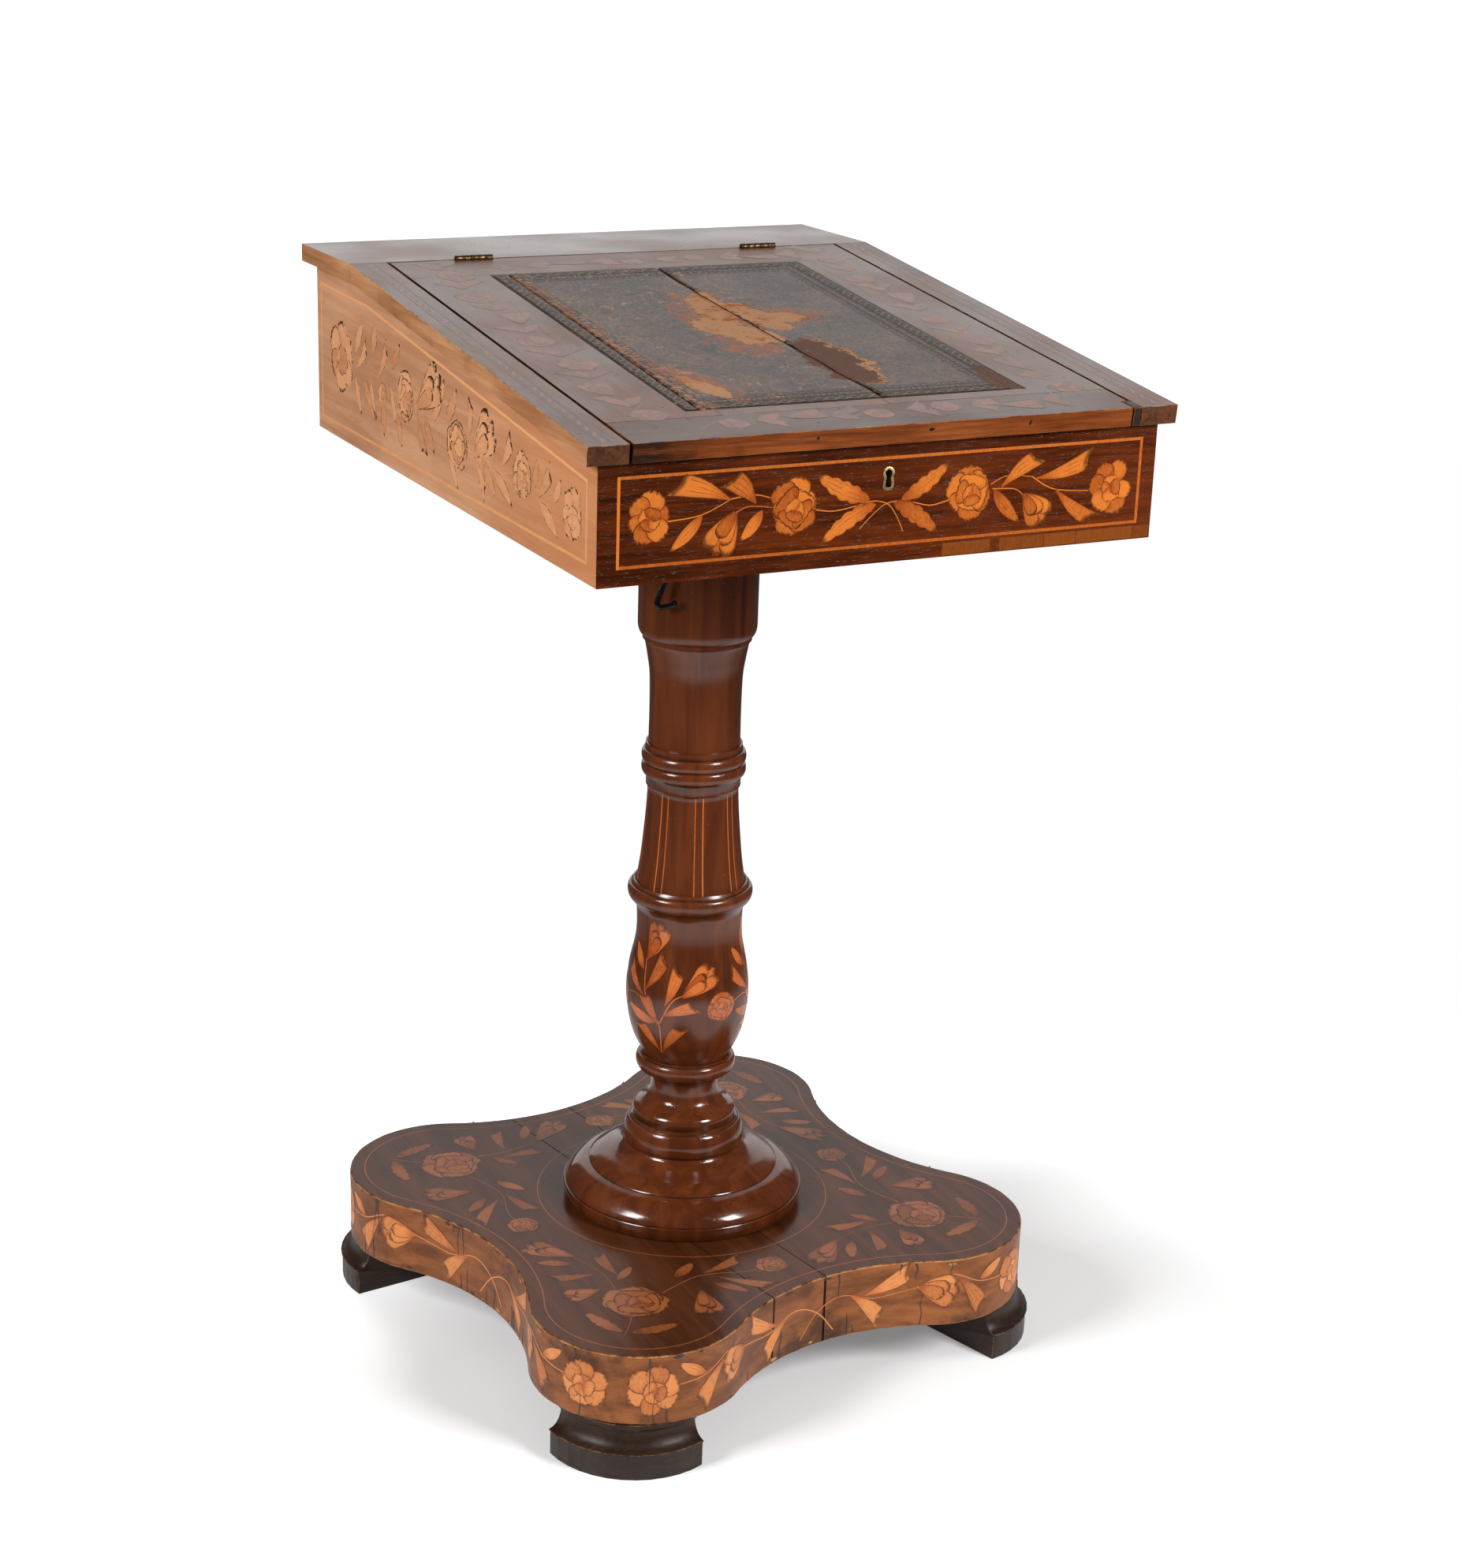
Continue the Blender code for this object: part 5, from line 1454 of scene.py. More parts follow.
@dataclass
class Platform:
    """The lobed platform: three veneered planks, inlaid lines and flowers, and four moulded feet."""

    plan: PlatformPlan = field(default_factory=PlatformPlan)
    joints: tuple[float, float] = (-0.050, 0.008)
    gap: float = 0.0009
    steps: int = 288
    ring: float = 0.1246
    line_inset: float = 0.0125
    ring_parts: int = 96
    edge_parts: int = 192
    cracks: int = 70
    chips: int = 60

    def build(self, frame: dict) -> None:
        """Builds and dresses the base below the column.

        Args:
            frame: The loaded frame.
        """
        for foot in ("foot_front_left", "foot_front_right", "foot_back_left", "foot_back_right"):
            softened(frame, foot, "base", [EBONISED], 0.0012, 0.0006, 0.008, 30.0, 50.0)
        bounds = (-math.inf, *self.joints, math.inf)
        for name, left, right in zip(("left", "middle", "right"), bounds, bounds[1:]):
            self.plank(name, left, right)
        self.inlay()

    def plank(self, name: str, left: float, right: float) -> None:
        """Builds one plank with a worn upper edge.

        Args:
            name: Side that it lies on.
            left: Its left joint in the base's frame, or minus infinity.
            right: Its right joint, or infinity.
        """
        bm = bmesh.new()
        total = 4 * self.plan.quarter()
        spots = [self.plan.along(total * i / self.steps)[0] for i in range(self.steps)]
        face = bm.faces.new([bm.verts.new((*spot, PLATFORM_LOW)) for spot in spots])
        grown = bmesh.ops.extrude_face_region(bm, geom=[face])["geom"]
        bmesh.ops.translate(bm, verts=[v for v in grown if isinstance(v, bmesh.types.BMVert)],
                            vec=(0, 0, PLATFORM_HIGH - PLATFORM_LOW))
        for place, normal in ((left + self.gap / 2, -1), (right - self.gap / 2, 1)):
            if math.isfinite(place):
                everything = bm.verts[:] + bm.edges[:] + bm.faces[:]
                cut = bmesh.ops.bisect_plane(bm, geom=everything, plane_co=(place, 0, 0),
                                             plane_no=(normal, 0, 0), dist=CUT_POINT, clear_outer=True)
                rim = [part for part in cut["geom_cut"] if isinstance(part, BMEdge)]
                bmesh.ops.edgeloop_fill(bm, edges=rim)
        bmesh.ops.recalc_face_normals(bm, faces=bm.faces)
        for side in bm.faces:
            side.material_index = 0 if abs(side.normal.z) > 0.5 else 1
        split_long(bm, [e for e in sharp_edges(bm, 50) if e.calc_length() > 0.01], 0.006)

        def at_joint(spot: Vector) -> bool:
            return min(abs(spot.x - left), abs(spot.x - right)) < self.gap

        outer = [e for e in sharp_edges(bm, 50) if not all(at_joint(v.co) for v in e.verts)]
        arris(bm, outer, 0.0011, 0.0009, 3.0)
        for face in bm.faces:
            if at_joint(face.calc_center_median()):
                face.material_index = 2
        for vert in bm.verts:
            vert.co = on_base(vert.co.x, vert.co.y, vert.co.z)
        bm.normal_update()
        piece = f"platform_plank_{name}"
        finishes = [PLATFORM_TOP, PLATFORM_EDGE, DARK_JOINT]
        settle(bm, f"{piece}_dressed", "base", finishes, [piece], 20.0)

    def inlay(self) -> None:
        """Lays the flowers, the ring and the edge line, and the garland of the edge."""
        turn = Matrix.Rotation(BASE_TURN, 3, "Z")
        ground = FlatGround(on_base(0, 0, PLATFORM_HIGH), turn @ RIGHT, turn @ BACK)
        cutter = InlayCutter(ground, 11)
        for turns in range(4):
            spin = 1j ** turns

            def turned(spot: Spot, spin: complex = spin) -> Spot:
                point = complex(*spot) * spin
                return (point.real, point.imag)

            cutter.lay(moved(motif, turned) for motif in LOBE_MOTIFS + FLANK_MOTIFS)
        cutter.settle("platform_marquetry", "base", "platform", PLATFORM_INLAY)
        lines = InlayCutter(ground, 12)
        parts = self.ring_parts
        ring = [self.ring * cmath.exp(2j * math.pi * i / parts) for i in range(parts + 1)]
        lines.stem(ring, LINE_WIDTH, 0.0, 2 * parts)
        total = 4 * self.plan.quarter()
        inner = []
        for i in range(self.edge_parts + 1):
            spot, out = self.plan.along(total * i / self.edge_parts)
            place = spot - out * self.line_inset
            inner.append(complex(place.x, place.y))
        lines.stem(inner, LINE_WIDTH, 0.0, 2 * self.edge_parts)
        lines.settle("platform_stringing", "base", "platform", PLATFORM_INLAY)
        band = InlayCutter(EdgeGround(self.plan), 13, CURVED_LIFT)
        quarter = self.plan.quarter() / MM
        for turns in range(4):
            for way in (1, -1):
                def along(spot: Spot, turns: int = turns, way: int = way) -> Spot:
                    return (turns * quarter + way * spot[0], spot[1])

                band.lay(moved(motif, along, way < 0) for motif in EDGE_MOTIFS)
        band.settle("platform_edge_marquetry", "base", "platform", EDGE_INLAY)
        self.wear(quarter * 4)

    def wear(self, girth: float) -> None:
        """Cracks and chips the veneer of the edge.

        Args:
            girth: Length of the whole edge in millimetres.
        """
        draw = random.Random(14)
        height = (PLATFORM_HIGH - PLATFORM_LOW) / MM
        cracks = InlayCutter(EdgeGround(self.plan), 15, CRACK_LIFT)
        chips = InlayCutter(EdgeGround(self.plan), 16, CHIP_LIFT)
        for _ in range(self.cracks):
            place, from_top = draw.uniform(0, girth), draw.random() < 0.4
            length = draw.uniform(5, 34)
            level = height - 1.5 if from_top else 1.5
            way = -1 if from_top else 1
            points = [(place + draw.uniform(-1.2, 1.2), level + way * length * i / 3) for i in range(4)]
            cracks.lay([Stem(tuple(points), draw.uniform(0.7, 1.8), 0.9)])
        for _ in range(self.chips):
            place, top = draw.uniform(0, girth), draw.random() < 0.35
            level = height - draw.uniform(2, 4) if top else draw.uniform(2, 5)
            length = draw.uniform(3, 11)
            tip = (place + length, level + draw.uniform(-1, 1))
            leaf = Leaf((place, level), tip, draw.uniform(1.5, 4), Cut.SERRATED, 0.3)
            (chips if draw.random() < 0.55 else cracks).lay([leaf])
        cracks.settle("platform_edge_cracks", "base", "platform", DARK_LINE)
        chips.settle("platform_edge_chips", "base", "platform", RAW_WOOD)


# Column

def swell(top: Spot, bottom: Spot, bulge: float, steps: int = 18) -> list[Spot]:
    """A bead between two profile points.

    Args:
        top: Upper point, as radius and height.
        bottom: Lower point.
        bulge: How far it swells.
        steps: Parts of the curve.

    Returns:
        The points from the top down.
    """
    points = []
    for step in range(steps + 1):
        turn = math.pi * step / steps
        share = (1 - math.cos(turn)) / 2
        radius = top[0] + (bottom[0] - top[0]) * share + bulge * math.sin(turn)
        points.append((radius, top[1] + (bottom[1] - top[1]) * share))
    return points


def cove(top: Spot, bottom: Spot, steps: int = 8) -> list[Spot]:
    """A hollow quarter round between two profile points.

    Args:
        top: Upper point, as radius and height.
        bottom: Lower point.
        steps: Parts of the curve.

    Returns:
        The points from the top down.
    """
    points = []
    for step in range(steps + 1):
        turn = math.pi / 2 * step / steps
        out, down = 1 - math.cos(turn), math.sin(turn)
        points.append((top[0] + (bottom[0] - top[0]) * out, top[1] + (bottom[1] - top[1]) * down))
    return points


def flowing(knots: Sequence[Spot], steps: int = 8) -> list[Spot]:
    """A smooth curve through profile knots.

    Args:
        knots: Points from the top down.
        steps: Parts between two knots.

    Returns:
        The points from the top down.
    """
    line = [complex(*knot) for knot in knots]
    points = []
    for i in range(len(knots) - 1):
        for step in range(steps):
            place = spline(line, i, step / steps)
            points.append((place.real, place.imag))
    return points + [knots[-1]]


@dataclass
class Column:
    """The turned column, in six pieces, with stringing and sprays let into it."""

    turns: int = 144
    dome_seat: float = 0.1043
    stem_seat: float = 0.1551
    baluster_seat: float = 0.2334
    shaft_seat: float = 0.3887
    neck_seat: float = 0.5078
    collar_seat: float = 0.6021
    lip: float = 0.003
    pair_angle: float = math.radians(-107.5)
    pair_half: float = math.radians(4.8)
    pairs: int = 8
    spray_angle: float = math.radians(-143.4)
    sprays: int = 3
    # How strongly, and from what inward bend, concave creases get painted shade and grime
    crease_shade_turn: float = 2.0
    crease_shade_from: float = 0.35
    shaft_girth: float = 0.041
    baluster_girth: float = 0.0515
    string_width: float = 0.0010
    string_levels: tuple[float, ...] = (1, 22, 43, 64, 84)
    shaft_plain: float = 0.0845
    spray_room: Spot = (0.004, 0.1345)

    def profiles(self) -> dict[str, tuple[float, list[Spot]]]:
        """Seats and outer profiles of the six pieces.

        Returns:
            For each piece its seat and its profile from the top down.
        """
        dome = [(0.0, 0.0505), (0.0500, 0.0505)]
        dome += flowing([(0.0506, 0.0500), (0.0520, 0.0480), (0.0560, 0.0450), (0.0620, 0.0420),
                         (0.0700, 0.0385), (0.0770, 0.0345), (0.0800, 0.0322)])
        dome += [(0.0805, 0.0308)]
        dome += flowing([(0.0812, 0.0306), (0.0875, 0.0281), (0.0935, 0.0239), (0.0985, 0.0184),
                         (0.1008, 0.0140)])
        dome += [(0.1009, 0.0126), (0.1020, 0.0125), (0.1024, 0.0120)]
        dome += flowing([(0.1024, 0.0105), (0.1018, 0.0060), (0.1002, 0.0010)])
        dome += [(0.0994, 0.0), (0.0, 0.0)]
        foot, ring = 0.0365, 0.0423
        stem = [(0.0, 0.078), (foot + 0.0006, 0.078), (foot + 0.0006, 0.078 + self.lip),
                (foot + 0.0020, 0.078 + self.lip)]
        stem += swell((foot + 0.0025, 0.0795), (ring - 0.004, 0.0665), 0.0036)
        stem += [(0.0314, 0.0655)]
        stem += flowing([(0.0298, 0.0630), (0.0288, 0.0565), (0.0290, 0.0480), (0.0312, 0.0415),
                         (0.0360, 0.0370), (0.0408, 0.0340), (0.0431, 0.0312), (0.0438, 0.0285)])
        stem += [(0.0434, 0.0275), (0.0434, 0.0235), (0.0450, 0.0225)]
        stem += swell((0.0466, 0.0205), (0.0496, 0.0008), 0.0030, 22) + [(0.0496, 0.0), (0.0, 0.0)]
        shaft_foot, waist, belly, band = 0.0455, 0.0438, 0.0515, 0.0519
        baluster = [(0.0, 0.155), (shaft_foot + 0.0006, 0.155), (shaft_foot + 0.0006, 0.155 + self.lip)]
        baluster += [(shaft_foot + 0.0020, 0.155 + self.lip), (shaft_foot + 0.0030, 0.1565)]
        baluster += swell((band - 0.0028, 0.1545), (band - 0.0042, 0.1410), 0.0036)
        baluster += [(waist + 0.0022, 0.1375), (waist + 0.0006, 0.1345)]
        baluster += flowing([(waist + 0.0004, 0.1325), (waist, 0.1186), (waist + 0.0011, 0.1046),
                             (belly - 0.0020, 0.0818), (belly, 0.0610), (belly - 0.0018, 0.0387),
                             (belly - 0.0064, 0.0205), (foot + 0.0012, 0.0055), (foot, self.lip)])
        baluster += [(foot, 0.0), (0.0, 0.0)]
        top, bead, throat = 0.0373, 0.0429, 0.0374
        shaft = [(0.0, 0.1188), (throat + 0.0009, 0.1188), (throat + 0.0009, 0.1218),
                 (throat + 0.0023, 0.1218)]
        shaft += [(bead - 0.0031, 0.1193)]
        shaft += swell((bead - 0.0025, 0.1163), (bead - 0.0022, 0.1060), 0.0024, 14)
        shaft += swell((bead - 0.0022, 0.1056), (bead - 0.0025, 0.0953), 0.0024, 14)
        shaft += [(top + 0.0016, 0.0930), (top + 0.0016, 0.0860), (top + 0.0004, 0.0845)]
        shaft += flowing([(top, 0.0810), (top + 0.0010, 0.0633), (top + 0.0026, 0.0440),
                          (top + 0.0049, 0.0213), (shaft_foot, 0.0)])
        shaft += [(0.0, 0.0)]
        cap = 0.0443
        upper = [(0.0, 0.094), (cap, 0.094), (cap, 0.0905)]
        upper += flowing([(cap - 0.0013, 0.0897), (throat + 0.0046, 0.0862), (throat + 0.0026, 0.0752),
                          (throat + 0.0005, 0.0590), (throat, 0.0290), (throat + 0.0003, 0.0)])
        upper += [(0.0, 0.0)]
        collar = [(0.0, 0.1336), (0.0472, 0.1336), (0.0484, 0.1324), (0.0484, 0.0094)]
        collar += cove((0.0484, 0.0094), (cap + 0.0003, 0.0)) + [(0.0, 0.0)]
        return {"column_dome": (self.dome_seat, dome), "column_stem": (self.stem_seat, stem),
                "column_baluster": (self.baluster_seat, baluster),
                "column_shaft": (self.shaft_seat, shaft), "column_neck": (self.neck_seat, upper),
                "column_collar": (self.collar_seat, collar)}

    def build(self) -> None:
        """Turns the six pieces and lets the lines and sprays into them."""
        profiles = self.profiles()
        for name, (seat, profile) in profiles.items():
            bm = bmesh.new()
            crease_shade_and_grime = bm.verts.layers.float.new("crease_shade_and_grime")
            verts = []
            for radius, height in profile:
                place = Vector((radius, 0.0, height))
                if not verts or (verts[-1].co - place).length > TURNED_POINT:
                    verts.append(bm.verts.new(place))
            for upper, lower in zip(verts, verts[1:]):
                bm.edges.new((upper, lower))
            # Painted shade and grime in concave creases: each point's darkening grows with how sharply
            # the profile turns inward there
            for before, vert, after in zip(verts, verts[1:], verts[2:]):
                way, on = vert.co - before.co, after.co - vert.co
                hollow = way.xz.angle_signed(on.xz, 0.0)
                vert[crease_shade_and_grime] = min(1.0, max(0.0, (-hollow - self.crease_shade_from) * self.crease_shade_turn))
            bmesh.ops.spin(bm, geom=bm.verts[:] + bm.edges[:], cent=(0, 0, 0), axis=(0, 0, 1),
                           dvec=(0, 0, 0), angle=2 * math.pi, steps=self.turns, use_merge=True,
                           use_duplicate=False)
            bmesh.ops.remove_doubles(bm, verts=bm.verts, dist=TURNED_POINT)
            bmesh.ops.recalc_face_normals(bm, faces=bm.faces)
            bmesh.ops.translate(bm, verts=bm.verts, vec=(0, COLUMN_Y, seat))
            settle(bm, f"{name}_turned", "base", [TURNED_WOOD], [name], 34.0)
        self.stringing(profiles["column_shaft"][1])
        self.spray(profiles["column_baluster"][1])

    def stringing(self, profile: list[Spot]) -> None:
        """Lets pairs of light lines into the shaft.

        Args:
            profile: The shaft's profile.
        """
        girth = self.shaft_girth
        outer = tuple(p for p in profile if p[1] <= self.shaft_plain and p[0] > 0.0)
        ground = TurnedGround(outer, self.shaft_seat, girth, self.pair_angle)
        cutter = InlayCutter(ground, 21, CURVED_LIFT)
        for i in range(self.pairs):
            for side in (-1, 1):
                place = girth * (2 * math.pi * i / self.pairs + side * self.pair_half)
                line = [complex(place, level * MM) for level in self.string_levels]
                cutter.stem(line, self.string_width, 0.0, 24)
        cutter.settle("shaft_stringing", "base", "column", COLUMN_INLAY)

    def spray(self, profile: list[Spot]) -> None:
        """Lets the flower sprays into the baluster.

        Args:
            profile: The baluster's profile.
        """
        girth = self.baluster_girth
        low, high = self.spray_room
        outer = tuple(p for p in profile if low <= p[1] <= high)
        ground = TurnedGround(outer, self.baluster_seat, girth, self.spray_angle)
        cutter = InlayCutter(ground, 22, CURVED_LIFT)
        pitch = 2 * math.pi * girth / MM / self.sprays
        for i in range(self.sprays):
            def shifted(spot: Spot, shift: float = i * pitch) -> Spot:
                return (spot[0] + shift, spot[1])

            cutter.lay(moved(motif, shifted) for motif in SPRAY_MOTIFS)
        cutter.settle("baluster_marquetry", "base", "column", COLUMN_INLAY)


# Box

@dataclass
class DeskBox:
    """The box: panels, bottom, top board and cap strips, with their inlay."""

    low: float = 0.7300
    front: float = -0.2875
    half: float = 0.2220
    strip_middle: float = 0.2177
    front_string: float = 0.0022
    side_string: float = 0.0023
    front_frame: tuple[Spot, Spot] = ((-0.2065, 0.0130), (0.2090, 0.0745))
    side_frame: tuple[Spot, ...] = ((-0.2800, 0.0115), (0.2700, 0.0140), (0.2700, 0.0705),
                                    (-0.1690, 0.1195), (-0.2800, 0.1215), (-0.2800, 0.0115))
    patch_ends: tuple[float, ...] = (46, 86, 93, 131, 158, 207, 221)
    patch_level: float = 5.4
    patch_width: float = 0.0090
    patch_gap: float = 0.6
    rope_turns: int = 36
    rope_pitch: float = 0.0130
    rope_length: float = 0.0085
    rope_half: float = 0.0014
    rope_width: float = 0.0023
    rope_start: float = -0.4665
    line_aside: float = 0.0042
    line_ends: Spot = (-0.470, -0.002)

    def build(self, frame: dict) -> None:
        """Builds and dresses the box.

        Args:
            frame: The loaded frame.
        """
        boards = (("front_panel", "front", FRONT_GROUND, 0.0009, 0.0007),
                  ("left_panel", "sides", SIDE_GROUND, 0.0009, 0.0006),
                  ("right_panel", "sides", SIDE_GROUND, 0.0009, 0.0006),
                  ("back_panel", "carcass", BACK_WOOD, 0.0009, 0.0005),
                  ("bottom_board", "carcass", CARCASS_WOOD, 0.0006, 0.0),
                  ("pivot_block", "carcass", CARCASS_WOOD, 0.0010, 0.0))
        for node, slot, finish, width, rough in boards:
            softened(frame, node, "desk", [finish], width, rough)
        softened(frame, "top_board", "desk", [TOP_BOARD, FADED_EDGE], 0.0014, 0.0008, side=RIGHT)
        strip_finishes = [STRIP_GROUND, FADED_EDGE, DARK_JOINT]
        for strip, outward in (("left_cap_strip", -RIGHT), ("right_cap_strip", RIGHT)):
            softened(frame, strip, "desk", strip_finishes, 0.0014, 0.0009, side=outward)
        softened(frame, "corner_block", "desk", [EBONISED], 0.0005, 0.0003)
        self.front_inlay()
        self.side_inlay()
        self.strip_inlay()

    def front_inlay(self) -> None:
        """Lays the front's garland, its stringing and the patched veneer below it."""
        ground = FlatGround(Vector((0, self.front, self.low)), RIGHT, UP)
        cutter = InlayCutter(ground, 31)
        cutter.lay(FRONT_MOTIFS)
        cutter.settle("front_marquetry", "desk", "front", FRONT_INLAY)
        lines = InlayCutter(ground, 32)
        (left, low), (right, high) = self.front_frame
        corners = ((left, low), (right, low), (right, high), (left, high), (left, low))
        lines.ribbon(corners, self.front_string)
        lines.settle("front_stringing", "desk", "front", FRONT_INLAY)
        patch = InlayCutter(ground, 37)
        aside = self.patch_gap / 2
        for first, last in zip(self.patch_ends, self.patch_ends[1:]):
            ends = (complex(first + aside, self.patch_level), complex(last - aside, self.patch_level))
            patch.stem([end * MM for end in ends], self.patch_width, 0.0, 6)
        patch.settle("front_patched_veneer", "desk", "front", PATCH_VENEER)

    def side_inlay(self) -> None:
        """Lays the sides' garlands and stringing, the right one mirrored."""
        for side, way in (("left", 1), ("right", -1)):
            def flipped(spot: Spot, way: int = way) -> Spot:
                return (way * spot[0], spot[1])

            ground = FlatGround(Vector((-way * self.half, 0, self.low)), -way * BACK, UP)
            cutter = InlayCutter(ground, 33)
            cutter.lay(moved(motif, flipped, way < 0) for motif in SIDE_MOTIFS)
            cutter.settle(f"{side}_side_marquetry", "desk", "sides", SIDE_INLAY)
            lines = InlayCutter(ground, 34)
            lines.ribbon([flipped(corner) for corner in self.side_frame], self.side_string)
            lines.settle(f"{side}_side_stringing", "desk", "sides", SIDE_STRING)

    def strip_inlay(self) -> None:
        """Lays the rope line between two dark lines along each cap strip."""
        for side, way in (("left", -1), ("right", 1)):
            middle = way * self.strip_middle
            ground = FlatGround(on_slope(middle, 0, SLOPE_TOP), RIGHT, SLOPE_TURN @ BACK)
            rope = InlayCutter(ground, 35)
            dark = InlayCutter(ground, 36)
            strand = complex(self.rope_half, self.rope_length / 2)
            for i in range(self.rope_turns):
                place = complex(0.0, self.rope_start + i * self.rope_pitch + self.rope_length / 2)
                rope.stem([place - strand, place + strand], self.rope_width, 0.0, 2)
            for aside in (-self.line_aside, self.line_aside):
                dark.ribbon([(aside, end) for end in self.line_ends], LINE_WIDTH)
            rope.settle(f"{side}_strip_rope", "desk", "top", TOP_INLAY)
            dark.settle(f"{side}_strip_lines", "desk", "top", DARK_LINE)


# Lid

@dataclass
class Lid:
    """The sloping lid: boards, clamps, border garland and the worn leather."""

    left: float = -0.1340
    right: float = 0.1400
    front: float = SLOPE_FRONT + 0.0592
    back: float = 0.00115 - 0.0515
    left_crack: float = 0.0008
    crack: float = 0.0015
    hide_lift: float = 0.0001
    hide_thickness: float = 0.0010
    curl: float = 0.00035
    curl_reach: float = 0.004
    sag: float = 0.00012
    strips: tuple[int, int, int] = (3, 30, 26)
    rows: int = 90
    garlands: tuple[tuple[Spot, Spot, float], ...] = (
        ((-166, -448), (-166, -18), 17), ((170, -448), (170, -18), 14),
        ((-140, -444), (142, -444), 13), ((-142, -27), (142, -27), 10))
    nail_marks: tuple[Leaf, ...] = (
        Leaf((-62, 1), (-60, 2.5), 2.4), Leaf((26, 2), (31, 2.4), 2.2), Leaf((108, 0), (109, 4), 2.0))
    nail_level: float = 0.0070

    def build(self, frame: dict) -> None:
        """Builds and dresses the lid.

        Args:
            frame: The loaded frame.
        """
        for board in ("lid_board_left", "lid_board_middle", "lid_board_right"):
            softened(frame, board, "lid", [TOP_GROUND, DARK_JOINT], 0.0007, 0.0004, side=RIGHT)
        softened(frame, "lid_front_clamp", "lid", [FRONT_CLAMP, CLAMP_EDGE], 0.0012, 0.0009,
                 side=BACK)
        softened(frame, "lid_back_clamp", "lid", [CROSS_GROUND], 0.0009, 0.0005)
        self.leather()
        self.border()

    def splits(self, share: float) -> tuple[float, float]:
        """Places of the two splits in the leather.

        Args:
            share: Place up the panel, from 0 at the front to 1 at the back.

        Returns:
            The left and the middle split, across the lid in metres.
        """
        wobble = 0.0011 * noise.noise(Vector((share * 9, 0.3, 0)))
        wobble += 0.0004 * noise.noise(Vector((share * 60, 1.3, 0)))
        middle = 0.0225 - 0.0170 * share + 0.0065 * share ** 6 + wobble
        left = -0.1235 + 0.0045 * share + wobble * 0.6
        return left, middle

    def leather(self) -> None:
        """Builds the leather as three strips that curl at the splits."""
        width, depth = self.right - self.left, self.back - self.front
        bm = bmesh.new()
        uv = bm.loops.layers.uv.verify()
        for strip, columns in enumerate(self.strips):
            made = bmesh.ops.create_grid(bm, x_segments=columns, y_segments=self.rows, size=1.0,
                                         calc_uvs=True)
            for vert in made["verts"]:
                s, t = (vert.co.x + 1) / 2, (vert.co.y + 1) / 2
                first, second = self.splits(t)
                starts = (self.left, first + self.left_crack, second + self.crack)
                ends = (first - self.left_crack, second - self.crack, self.right)
                x = starts[strip] + (ends[strip] - starts[strip]) * s
                y = self.front + depth * t
                near = min(abs(x - first), abs(x - second))
                crinkle = 0.5 + noise.noise(Vector((x * 30, y * 40, 0)))
                curl = self.curl * math.exp(-near / self.curl_reach) * crinkle
                sag = self.sag * noise.noise(Vector((x * 22, y * 22, 4)))
                vert.co = on_slope(x, y, SLOPE_TOP + self.hide_lift + curl + sag)
        inverse = SLOPE_TURN.transposed()
        for face in bm.faces:
            for loop in face.loops:
                place = inverse @ (loop.vert.co - HINGE_AXIS)
                loop[uv].uv = ((place.x - self.left) / width, (place.y - self.front) / depth)
        hide = LeatherFinish("worn_tooled_leather", shade(72, 54, 42), shade(32, 23, 17),
                             shade(158, 86, 40), shade(176, 132, 98), shade(100, 72, 60), width, depth)
        settle(bm, "leather_panel_dressed", "lid", [hide], ["leather_panel"], 60.0,
               self.hide_thickness)

    def border(self) -> None:
        """Lays the garland round the leather, and the nail marks on the front edge."""
        cutter = InlayCutter(FlatGround(on_slope(0, 0, SLOPE_TOP), RIGHT, SLOPE_TURN @ BACK), 41)
        for seed, (start, end, wave) in enumerate(self.garlands, 1):
            cutter.lay(garland(start, end, wave, seed))
        cutter.settle("lid_marquetry", "lid", "top", TOP_INLAY)
        level = on_slope(0, SLOPE_FRONT, SLOPE_TOP - self.nail_level)
        edge = InlayCutter(FlatGround(level, RIGHT, SLOPE_TURN @ UP), 42)
        edge.lay(self.nail_marks)
        edge.settle("lid_edge_nail_marks", "lid", "top", DARK_LINE)


# Metalwork

@dataclass
class Metalwork:
    """Hinges, lock, escutcheon, hook and eye."""

    brass_nodes: tuple[tuple[str, str], ...] = (
        ("left_hinge_fixed_leaf", "desk"), ("right_hinge_fixed_leaf", "desk"),
        ("left_hinge_pin", "desk"), ("right_hinge_pin", "desk"),
        ("left_hinge_lid_leaf", "lid"), ("right_hinge_lid_leaf", "lid"), ("strike_plate", "lid"),
        ("lock_case", "desk"), ("lock_cap", "desk"), ("lock_bolt", "bolt"))
    hook_growth: float = 0.0009

    def build(self, frame: dict) -> None:
        """Dresses the metal pieces.

        Args:
            frame: The loaded frame.
        """
        for node, body in self.brass_nodes:
            softened(frame, node, body, [OLD_BRASS], 0.0002, smooth=30.0)
        softened(frame, "keyhole_escutcheon", "desk", [PALE_BRASS], 0.0005, smooth=40.0)
        self.hook(frame)
        softened(frame, "screw_eye", "desk", [BLACK_IRON], 0.0, smooth=50.0)

    def hook(self, frame: dict) -> None:
        """Forges the hook stouter below its ring.

        Args:
            frame: The loaded frame.
        """
        bm = copied(frame, "iron_hook")
        bm.normal_update()
        low, high = min(v.co.z for v in bm.verts), max(v.co.z for v in bm.verts)
        for vert in bm.verts:
            depth = (high - vert.co.z) / (high - low)
            vert.co += vert.normal * self.hook_growth * min(1.0, max(0.0, (depth - 0.2) * 4))
        settle(bm, "iron_hook_dressed", "hook", [BLACK_IRON], ["iron_hook"], 50.0)


# Studio

@dataclass(frozen=True)
class Lamp:
    """A soft lamp that faces the desk, in degrees, metres and watts."""

    name: str
    azimuth: float
    elevation: float
    distance: float
    size: Spot
    power: float


def toward(azimuth: float, elevation: float) -> Vector:
    """Direction from the desk to a side and height in radians; the front is at zero."""
    level = math.cos(elevation)
    return Vector((math.sin(azimuth) * level, -math.cos(azimuth) * level, math.sin(elevation)))


